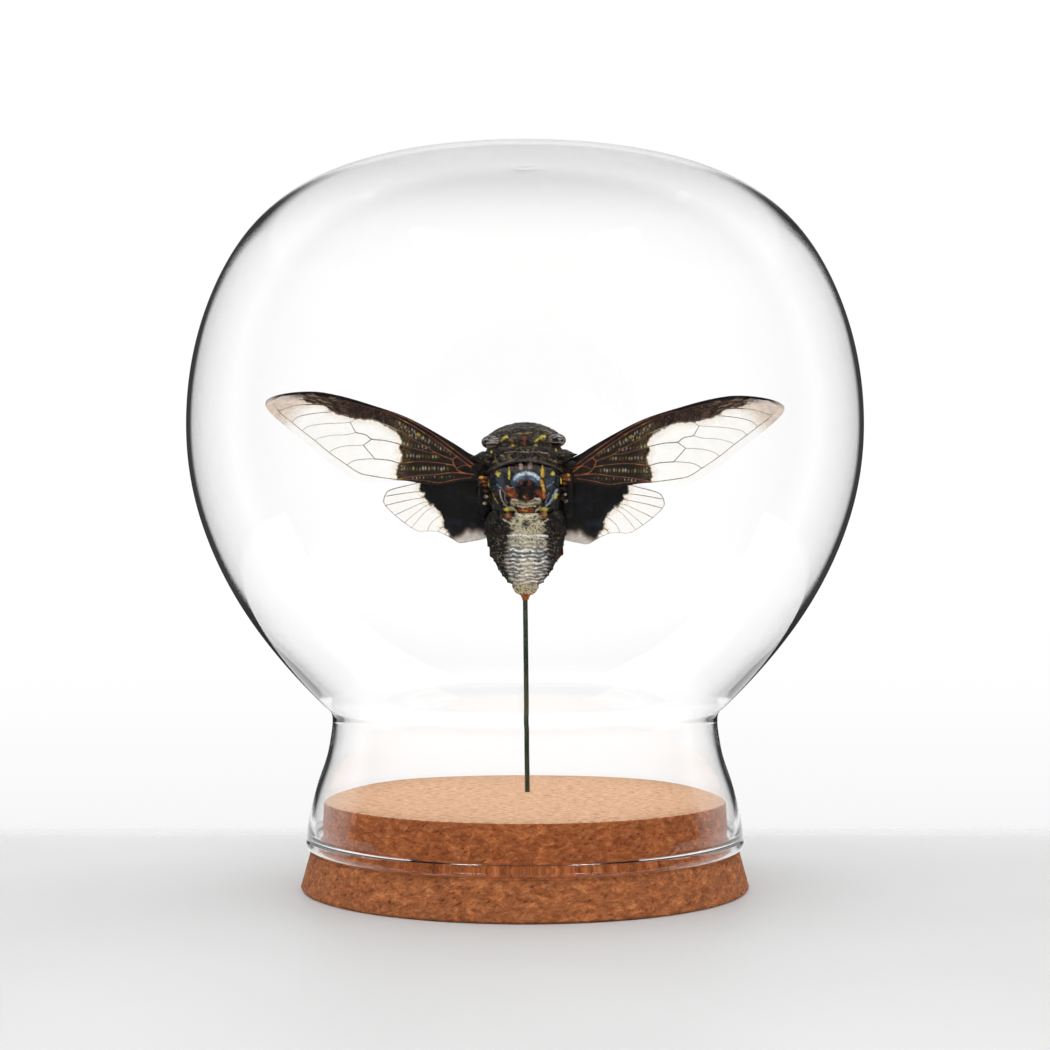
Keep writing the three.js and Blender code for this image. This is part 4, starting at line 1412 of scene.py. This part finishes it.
# Where the dark part of a wing ends, from the leading to the trailing edge
FOREWING_DARK_EDGE = [
    *[(49.5, 22), (48.4, 20.3), (47.6, 19), (46.9, 18.3), (42.7, 17.6), (41.9, 16.5), (40.2, 15.9)],
    *[(38.2, 15.4), (36.3, 14.9), (32.3, 14.6), (29.4, 13.3), (27.3, 11.9), (26.2, 10.2), (26.9, 8.4)],
    *[(26.2, 7), (26.9, 5.3), (27.4, 4.1), (27.2, 0)],
]
HINDWING_DARK_EDGE = [
    *[(22.6, 3), (22.6, 1.1), (22.8, 0.2), (21.9, -0.7), (21.9, -1.6), (20.9, -2.6), (19.7, -3.5)],
    *[(18.7, -4.3), (17.9, -5.1), (17.3, -6.1), (17.3, -7.1), (17.9, -7.9), (16.7, -8.2), (15.8, -9)],
    *[(15.8, -12)],
]
# Each vein: radius, then its points
FOREWING_VEINS = [
    (
        0.13,
        [
            *[(53.6, 17.4), (52.8, 16.2), (50.1, 14.1), (47.8, 12.3), (45, 10.2), (41.9, 7.7)],
            *[(38.1, 5.1), (35.3, 3.4), (32.6, 2.8), (29.8, 2.4), (27.2, 2.1)],
        ],
    ),
    (0.1, [(53.2, 16.6), (51.5, 17.2), (49.2, 17.8), (46.9, 18.0)]),
    (0.09, [(50.1, 14.1), (49.2, 15.1), (46.9, 15.8), (44.1, 16.2), (41.6, 16.4)]),
    (0.09, [(47.8, 12.3), (46.9, 13.1), (45, 13.6), (42.2, 13.9), (37.4, 14.2), (36.3, 15.2)]),
    (0.12, [(37.4, 14.2), (36.2, 12)]),
    (0.08, [(45, 10.2), (44.1, 10.8), (41.2, 11.4), (38.4, 11.5), (36.2, 12)]),
    (0.15, [(36.2, 12), (34, 11.5), (32.7, 10.6), (29.8, 10.3), (26.4, 9.5), (21.5, 8.1), (18.7, 7.7)]),
    (0.13, [(32.7, 10.6), (34.5, 9.3)]),
    (0.09, [(41.9, 7.7), (40.7, 8.5), (38.4, 9.1), (34.5, 9.3)]),
    (0.14, [(34.5, 9.3), (32.1, 6.5)]),
    (0.1, [(38.1, 5.1), (36.4, 6), (34.4, 6.3), (32.1, 6.4)]),
    (
        0.16,
        [(32.1, 6.4), (28.8, 6.1), (26.6, 5.5), (24.8, 5.7), (22.4, 5.9), (18.7, 5.7), (14.8, 5.1)],
    ),
    (0.19, [(10.3, 4.0), (14.6, 7.2), (18.7, 10.2), (22.8, 12.9), (26.9, 15.1), (30.5, 16.6)]),
    (0.16, [(9.8, 4.6), (14.2, 7.9), (18.3, 10.9), (22.3, 13.5), (26.9, 15.7), (33, 17.3)]),
    (0.14, [(33, 17.3), (38.5, 18.7), (43.6, 19.3), (48.5, 19.0)]),
    (0.17, [(14.4, 7.0), (15.2, 6.3), (14.8, 5.1), (13.8, 3.9), (11.1, 3.2)]),
    (
        0.16,
        [(15.2, 6.3), (18.7, 7.7), (21.1, 9.2), (23.8, 10.6), (26, 12.1), (27.5, 12.7), (29.1, 13.5)],
    ),
    (0.12, [(21.9, 8.2), (20.7, 9.2)]),
    (
        0.15,
        [(29.1, 13.4), (32.3, 14.7), (36.3, 15.1), (39.3, 15.9), (42.2, 17.6), (44.6, 18.0), (46.9, 18)],
    ),
    (0.18, [(10.6, 3.3), (15, 3.6), (18.7, 3.2), (22.8, 2.9), (27.2, 2.1)]),
    (0.12, [(11.2, 2.6), (15, 2.1), (18.1, 1.5), (22, 2.0), (26.8, 2.1)]),
    (0.13, [(9.9, 4.6), (12.5, 5.2), (14.4, 4.5)]),
]
HINDWING_VEINS = [
    (0.13, [(9.8, 0.6), (16, 1.7), (22.4, 1.5), (23.8, 1.2), (28.7, 0), (29.9, -1.2), (30.2, -2.4)]),
    (0.12, [(10, -0.6), (16, 0.1), (22.4, -0.3), (26, -0.7), (29.6, -1.3)]),
    (0.11, [(10, -1), (16, -0.9), (21.9, -1.6), (26, -2.3), (29.8, -3.2)]),
    (0.1, [(10, -1.3), (16, -1.7), (21.1, -2.4), (24.6, -3.8), (27.7, -5.2)]),
    (0.09, [(16, -1.7), (20.7, -3.1), (23.4, -4.9), (25.6, -6.8)]),
    (0.09, [(10, -2), (15, -2.6), (19.9, -3.7), (22.2, -5.6), (24, -7.8)]),
    (0.11, [(10, -2.4), (14, -3.4), (17.9, -5.3), (19.9, -6.9), (20.6, -8.4)]),
    (0.11, [(10, -3), (14, -5), (17.3, -7.5), (18.3, -8.6)]),
    (0.1, [(10, -4), (13.5, -6.4), (16, -8.2), (16.9, -9.3)]),
    (
        0.08,
        [
            *[(30.2, -2.4), (29.6, -3.4), (27.7, -5.2), (25.2, -7.1), (22.7, -8.5)],
            *[(20.6, -8.5), (18.4, -8.6)],
        ],
    ),
    (
        0.1,
        [
            *[(18.4, -8.6), (16.8, -9.3), (15.6, -9.9), (14.4, -10.7), (13.4, -10.9)],
            *[(11.6, -10.6), (10.5, -9.9)],
        ],
    ),
]
print("veins in each wing:", len(FOREWING_VEINS), "and", len(HINDWING_VEINS))


# %% How a wing lies in space
FOREWING_Y = -1.9
HINDWING_Y = -0.9
WING_SKIN = 0.05
SKIN_WELD = 2e-3
ARCH = 0.55
ROOT_CROWDING = 1.25  # above 1, the grid's columns are closer at the root
VEIN_SCALE = 0.8
VEIN_STEP = 0.35


def on_wing(out, up, rise, sign):
    """A point on a wing: a little arched across, swept back towards the tip."""
    arch = ARCH * math.sin(math.pi * min(max((out - 9) / 47, 0), 1)) * (up / 20)
    crease = 0.12 * noise.noise(Vector((out * 0.35, up * 0.5, rise * 7)))
    y = rise - arch + crease * ease(9, 16, out)
    x = out * math.cos(WING_SWEEP) - y * math.sin(WING_SWEEP)
    y = out * math.sin(WING_SWEEP) + y * math.cos(WING_SWEEP)
    return Vector((sign * x, y, up))


def split_edge(edge, tip_index, columns):
    """Two matching rows of points, leading and trailing, from the root out to the tip."""
    fine = along_curve(edge, 600)
    tip = Vector(edge[tip_index])
    turn = min(range(len(fine)), key=lambda i: (fine[i] - tip).length)
    lead, trail = fine[: turn + 1], fine[turn:][::-1]
    rows = []
    for i in range(columns + 1):
        share = (i / columns) ** ROOT_CROWDING
        pair = []
        for row in (lead, trail):
            spot = share * (len(row) - 1)
            low = min(int(spot), len(row) - 2)
            pair.append(row[low].lerp(row[low + 1], spot - low))
        rows.append(pair)
    return rows


def wing_skin(edge, tip_index, grid, rise, sign, tuck, paint):
    """A skin between the two edges, painted by place, with a wall of real thickness."""
    columns, lines = grid
    rows = split_edge(edge, tip_index, columns)
    bm = bmesh.new()
    bmesh.ops.create_grid(bm, x_segments=columns, y_segments=lines, size=0.5)
    layer = bm.verts.layers.float_color.new("markings")
    for v in bm.verts:
        lead, trail = rows[round((v.co.x + 0.5) * columns)]
        spot = trail.lerp(lead, v.co.y + 0.5)
        colour, cover = paint(spot.x, spot.y)
        v[layer] = (*colour, cover)
        inward = tuck * ease(edge[0][0] + 2.5, edge[0][0], spot.x)
        v.co = on_wing(spot.x - inward, spot.y, rise, sign)
    bmesh.ops.remove_doubles(bm, verts=bm.verts[:], dist=SKIN_WELD)
    bmesh.ops.recalc_face_normals(bm, faces=bm.faces[:])
    bmesh.ops.solidify(bm, geom=bm.faces[:], thickness=WING_SKIN)
    return bm


def wing_veins(veins, rise, sign, paint):
    """Tubes along the veins, slimmer near the root than further out."""
    bm = bmesh.new()
    routes = []
    for radius, points in veins:
        length = sum(math.dist(a, b) for a, b in zip(points, points[1:]))
        count = max(6, round(length / VEIN_STEP))
        way = along_curve(points, count)
        path = [on_wing(p.x, p.y, rise, sign) for p in way]
        slim = [VEIN_SCALE * radius * (0.72 + 0.28 * ease(22, 28, p.x)) for p in way]
        widths = [wide * (0.9 + 0.12 * math.sin(i * 1.7)) for i, wide in enumerate(slim)]
        routes.append((path, widths))
    add_tubes(bm, routes, 2)
    layer = bm.verts.layers.float_color.new("markings")
    for v in bm.verts:
        out = abs(v.co.x) / math.cos(WING_SWEEP)
        v[layer] = (*paint(out, v.co.z), 1)
    return bm


# %% Colours of the fore wing
SKIN_CREAM = shade(255, 230, 186)
SKIN_PINK = shade(240, 210, 184)
DARK_SKIN = shade(34, 24, 18)
VEIN_GREY = shade(118, 116, 108)
VEIN_OLIVE = shade(150, 146, 118)
VEIN_PALE = shade(214, 202, 166)
VEIN_BROWN = shade(84, 48, 30)
VEIN_RUST = shade(122, 66, 44)
HONEY = shade(240, 214, 168)
STRIP_RUST = shade(104, 60, 40)
STRIP_TAN = shade(164, 130, 102)
STREAK_TAN = shade(172, 146, 120)
TIP_BROWN = shade(96, 72, 58)
OPAQUE = 0.99
STRIP_SLOPE = 0.3
FLECK_TONES = (DULL_YELLOW, DULL_YELLOW, BEIGE, BEIGE, CREAM, YELLOW, GREY)
# Each row of flecks: its two ends, how many, and their half width and half height
FLECK_ROWS = [
    ((27.3, 14.5), (15.9, 7.6), 19, 0.17, 0.3),
    ((26.4, 13.3), (22.0, 10.9), 8, 0.13, 0.2),
    ((25.6, 9.7), (20.3, 8.8), 8, 0.14, 0.27),
    ((24.6, 11.6), (20.4, 9.9), 7, 0.13, 0.24),
    ((25.0, 7.1), (18.2, 6.9), 11, 0.15, 0.3),
    ((25.6, 4.4), (16.4, 4.4), 15, 0.16, 0.34),
    ((24.6, 2.5), (15.0, 2.7), 13, 0.11, 0.17),
    ((26.4, 8.0), (26.0, 3.4), 7, 0.17, 0.17),
]
flecks = []
for start, end, count, wide, tall in FLECK_ROWS:
    for i in range(count):
        t = i / (count - 1)
        spot = (
            start[0] + (end[0] - start[0]) * t + random.uniform(-0.12, 0.12),
            start[1] + (end[1] - start[1]) * t + random.uniform(-0.12, 0.12),
        )
        tone = random.choice(FLECK_TONES)
        fleck = Mark(tone, [spot], wide * random.uniform(0.7, 1.2), tall, soft=0.6)
        fleck.cover = random.uniform(0.4, 0.85)
        flecks.append(fleck)
print("flecks on a fore wing:", len(flecks))


def dark_side(line, out, up):
    """Distance into the dark part of a wing: positive inside it, negative outside."""
    away = distance_to_line(line, out, up)
    for (ax, az), (bx, bz) in zip(line, line[1:]):
        if bz <= up <= az:
            edge = ax + (bx - ax) * (az - up) / max(az - bz, 1e-9)
            return away if out < edge else -away
    return -away


def dark_forewing(out, up, inside):
    """The opaque skin: a pale network along its edge, rust and pale streaks in the strip."""
    grain = noise.noise(Vector((out * 1.6, up * 3.4, 2)))
    fine = noise.noise(Vector((out * 3.4, up * 5.2, 7)))
    skin = DARK_SKIN.lerp(BROWN, ease(0.1, 0.6, grain))
    network = ease(0.0, 0.35, fine) * ease(3.2, 1.0, inside) * ease(0.1, 0.5, inside)
    skin = skin.lerp(DULL_YELLOW, 0.65 * network * ease(30, 27, out))
    strip = ease(26, 30, out)
    skin = skin.lerp(STRIP_RUST, strip * 0.8 * ease(0.05, 0.45, fine + 0.5 * grain))
    skin = skin.lerp(STRIP_TAN, strip * 0.6 * ease(0.3, 0.55, fine - 0.4 * grain))
    along = noise.noise(Vector((out * 0.45, (up - STRIP_SLOPE * out) * 3.4, 6)))
    streak = ease(0.08, 0.34, along) * ease(37, 43, out)
    return skin.lerp(STREAK_TAN, 0.7 * streak)


def forewing_paint(out, up):
    """The colour and the cover of the fore wing's skin at a place."""
    spot = Vector((out, up, 0))
    inside = dark_side(FOREWING_DARK_EDGE, out, up)
    ragged = 0.35 * noise.noise(spot * 1.3) + 0.15 * noise.noise(spot * 3.1)
    dark = ease(-0.15, 0.35, inside + ragged)
    lead = distance_to_line(FOREWING_EDGE[: FOREWING_TIP + 1], out, up)
    border = 0.8 - 0.3 * ease(34, 52, out)
    edge = 1 - ease(border - 0.25, border + 0.1, lead)
    skin = dark_forewing(out, up, inside).lerp(BLACK, edge)
    for fleck in flecks:
        share = fleck.share(out, up)
        if share:
            skin = skin.lerp(fleck.colour, share * fleck.cover)
    apex = ease(46, 53, out + 0.9 * (up - 16))
    warm = 1 - ease(0.0, 1.8, abs(inside))
    clear = SKIN_CREAM.lerp(SKIN_PINK, apex).lerp(HONEY, 0.6 * warm)
    cover = 0.06 + 0.42 * apex + 0.02 * noise.noise(spot * 0.5) + 0.16 * warm
    tip_band = ease(1.7, 0.8, lead) * ease(54.5, 48, out) * ease(44, 47, out)
    clear = clear.lerp(TIP_BROWN, 0.8 * tip_band)
    rim = edge * (1 - 0.55 * ease(52.5, 55.5, out))
    clear = clear.lerp(BLACK, rim * (1 - dark))
    cover = max(cover, 0.8 * tip_band, 0.97 * rim)
    return clear.lerp(skin, dark), cover + (OPAQUE - cover) * dark


def forewing_vein_paint(out, up):
    """Rust and gold veins at the root, grey to pale ones further out, brown along the strip."""
    olive = ease(0.1, 0.5, noise.noise(Vector((out, up, 4)) * 0.3) + 0.3)
    outer = VEIN_GREY.lerp(VEIN_OLIVE, olive).lerp(VEIN_PALE, 0.5 * ease(32, 46, out))
    outer = outer.lerp(VEIN_BROWN, ease(14.5, 15.2, up) * ease(50, 47, out))
    glow = ease(-0.3, 0.4, noise.noise(Vector((out * 0.5, up * 0.5, 3))))
    hot = VEIN_RUST.lerp(ORANGE, glow * ease(22, 11, out))
    hot = hot.lerp(GOLD, 0.6 * ease(0.15, 0.5, noise.noise(Vector((out * 0.8, up, 8)))))
    return outer.lerp(hot, ease(28.0, 26.0, out))


# %% Colours of the hind wing, with its milky lobe below the line LOBE_TOP
LOBE_TOP = [(8, -9.8), (10.5, -8.0), (11.3, -7.6), (12.4, -7.6), (13.6, -8.8), (15.9, -9.6)]
LOBE_BROWN = shade(120, 92, 70)
LOBE_MILK = shade(226, 218, 208)
HINDWING_BLACK = shade(13, 11, 13)
# A blue that paints sheen on the black skin: a painted sheen.
HINDWING_PAINTED_SHEEN = shade(24, 26, 46)
PALE_HONEY = shade(240, 218, 178)
VEIN_BLACK = shade(34, 30, 34)


def hindwing_paint(out, up):
    """The colour and the cover of the hind wing's skin at a place."""
    spot = Vector((out, up, 5))
    inside = dark_side(HINDWING_DARK_EDGE, out, up)
    ragged = 0.5 * noise.noise(spot * 1.1) + 0.3 * noise.noise(spot * 2.6)
    dark = ease(-0.2, 0.4, inside + ragged)
    # Blue patches on the black skin are a painted sheen.
    skin = HINDWING_BLACK.lerp(HINDWING_PAINTED_SHEEN, ease(0.1, 0.6, noise.noise(spot * 0.55)))
    skin = skin.lerp(BROWN, 0.4 * ease(0.3, 0.6, noise.noise(spot * 1.5)))
    warm = 1 - ease(0.0, 1.3, abs(inside))
    clear = SKIN_CREAM.lerp(PALE_HONEY, 0.5 * warm)
    cover = 0.09 + 0.14 * warm
    cover += (OPAQUE - cover) * dark
    stripes = 0.5 * noise.noise(Vector((out * 2.4, up * 0.4, 1)))
    below = value_at(LOBE_TOP, out) - up + stripes
    lobe = ease(-0.1, 0.7, below) * ease(16.4, 15.6, out)
    milky = LOBE_BROWN.lerp(LOBE_MILK, ease(0.3, 1.9, below))
    colour = clear.lerp(skin, dark).lerp(milky, lobe * (0.85 + 0.15 * stripes))
    return colour, cover - 0.2 * lobe


def hindwing_vein_paint(out, up):
    """Grey veins, brown near the dark part and almost black inside it."""
    inside = dark_side(HINDWING_DARK_EDGE, out, up)
    outer = VEIN_GREY.lerp(BROWN, ease(-1.6, 0.0, inside))
    return outer.lerp(VEIN_BLACK, ease(-0.2, 0.3, inside))


# %% Wing finishes
def wing_finish(name, roughness, sheen):
    """A finish whose colour and alpha come from the painted attribute."""
    wing = Recipe(name)
    marks = wing.node("ShaderNodeAttribute", attribute_name="markings")
    mottling = wing.ramp(wing.noise(1300, 3, 0.6), (0.35, 0.8), (0.65, 1.1))
    wing.set(
        Base_Color=wing.mix(1.0, marks.outputs["Color"], mottling, "MULTIPLY"),
        Alpha=marks.outputs["Alpha"],
        Roughness=roughness,
        Sheen_Weight=sheen,
    )
    wing.bump(wing.noise(1500, 4, 0.6), 0.35, 0.00008)
    return wing.material


skin_finish = wing_finish("wing_skin", 0.38, 0.1)
vein_finish = wing_finish("wing_vein", 0.36, 0.0)
print("wing finishes:", skin_finish.name, "and", vein_finish.name)

# %% Four wings: a skin and its veins for each
FOREWING_GRID = (300, 84)
HINDWING_GRID = (150, 90)
FOREWING_TUCK = 1.6  # how far the root reaches in under the hinge plates
HINDWING_TUCK = 2.6
FOREWING_SHAPE = (FOREWING_EDGE, FOREWING_TIP, FOREWING_GRID, FOREWING_Y)
HINDWING_SHAPE = (HINDWING_EDGE, HINDWING_TIP, HINDWING_GRID, HINDWING_Y)
for side, sign in SIDES.items():
    bm = wing_skin(*FOREWING_SHAPE, sign, FOREWING_TUCK, forewing_paint)
    make_piece(f"forewing_skin_{side}", bm, skin_finish, [f"forewing_{side}"], on_wings)
    bm = wing_veins(FOREWING_VEINS, FOREWING_Y, sign, forewing_vein_paint)
    make_piece(f"forewing_veins_{side}", bm, vein_finish, [f"forewing_{side}"], on_wings)
    bm = wing_skin(*HINDWING_SHAPE, sign, HINDWING_TUCK, hindwing_paint)
    make_piece(f"hindwing_skin_{side}", bm, skin_finish, [f"hindwing_{side}"], on_wings)
    bm = wing_veins(HINDWING_VEINS, HINDWING_Y, sign, hindwing_vein_paint)
    make_piece(f"hindwing_veins_{side}", bm, vein_finish, [f"hindwing_{side}"], on_wings)
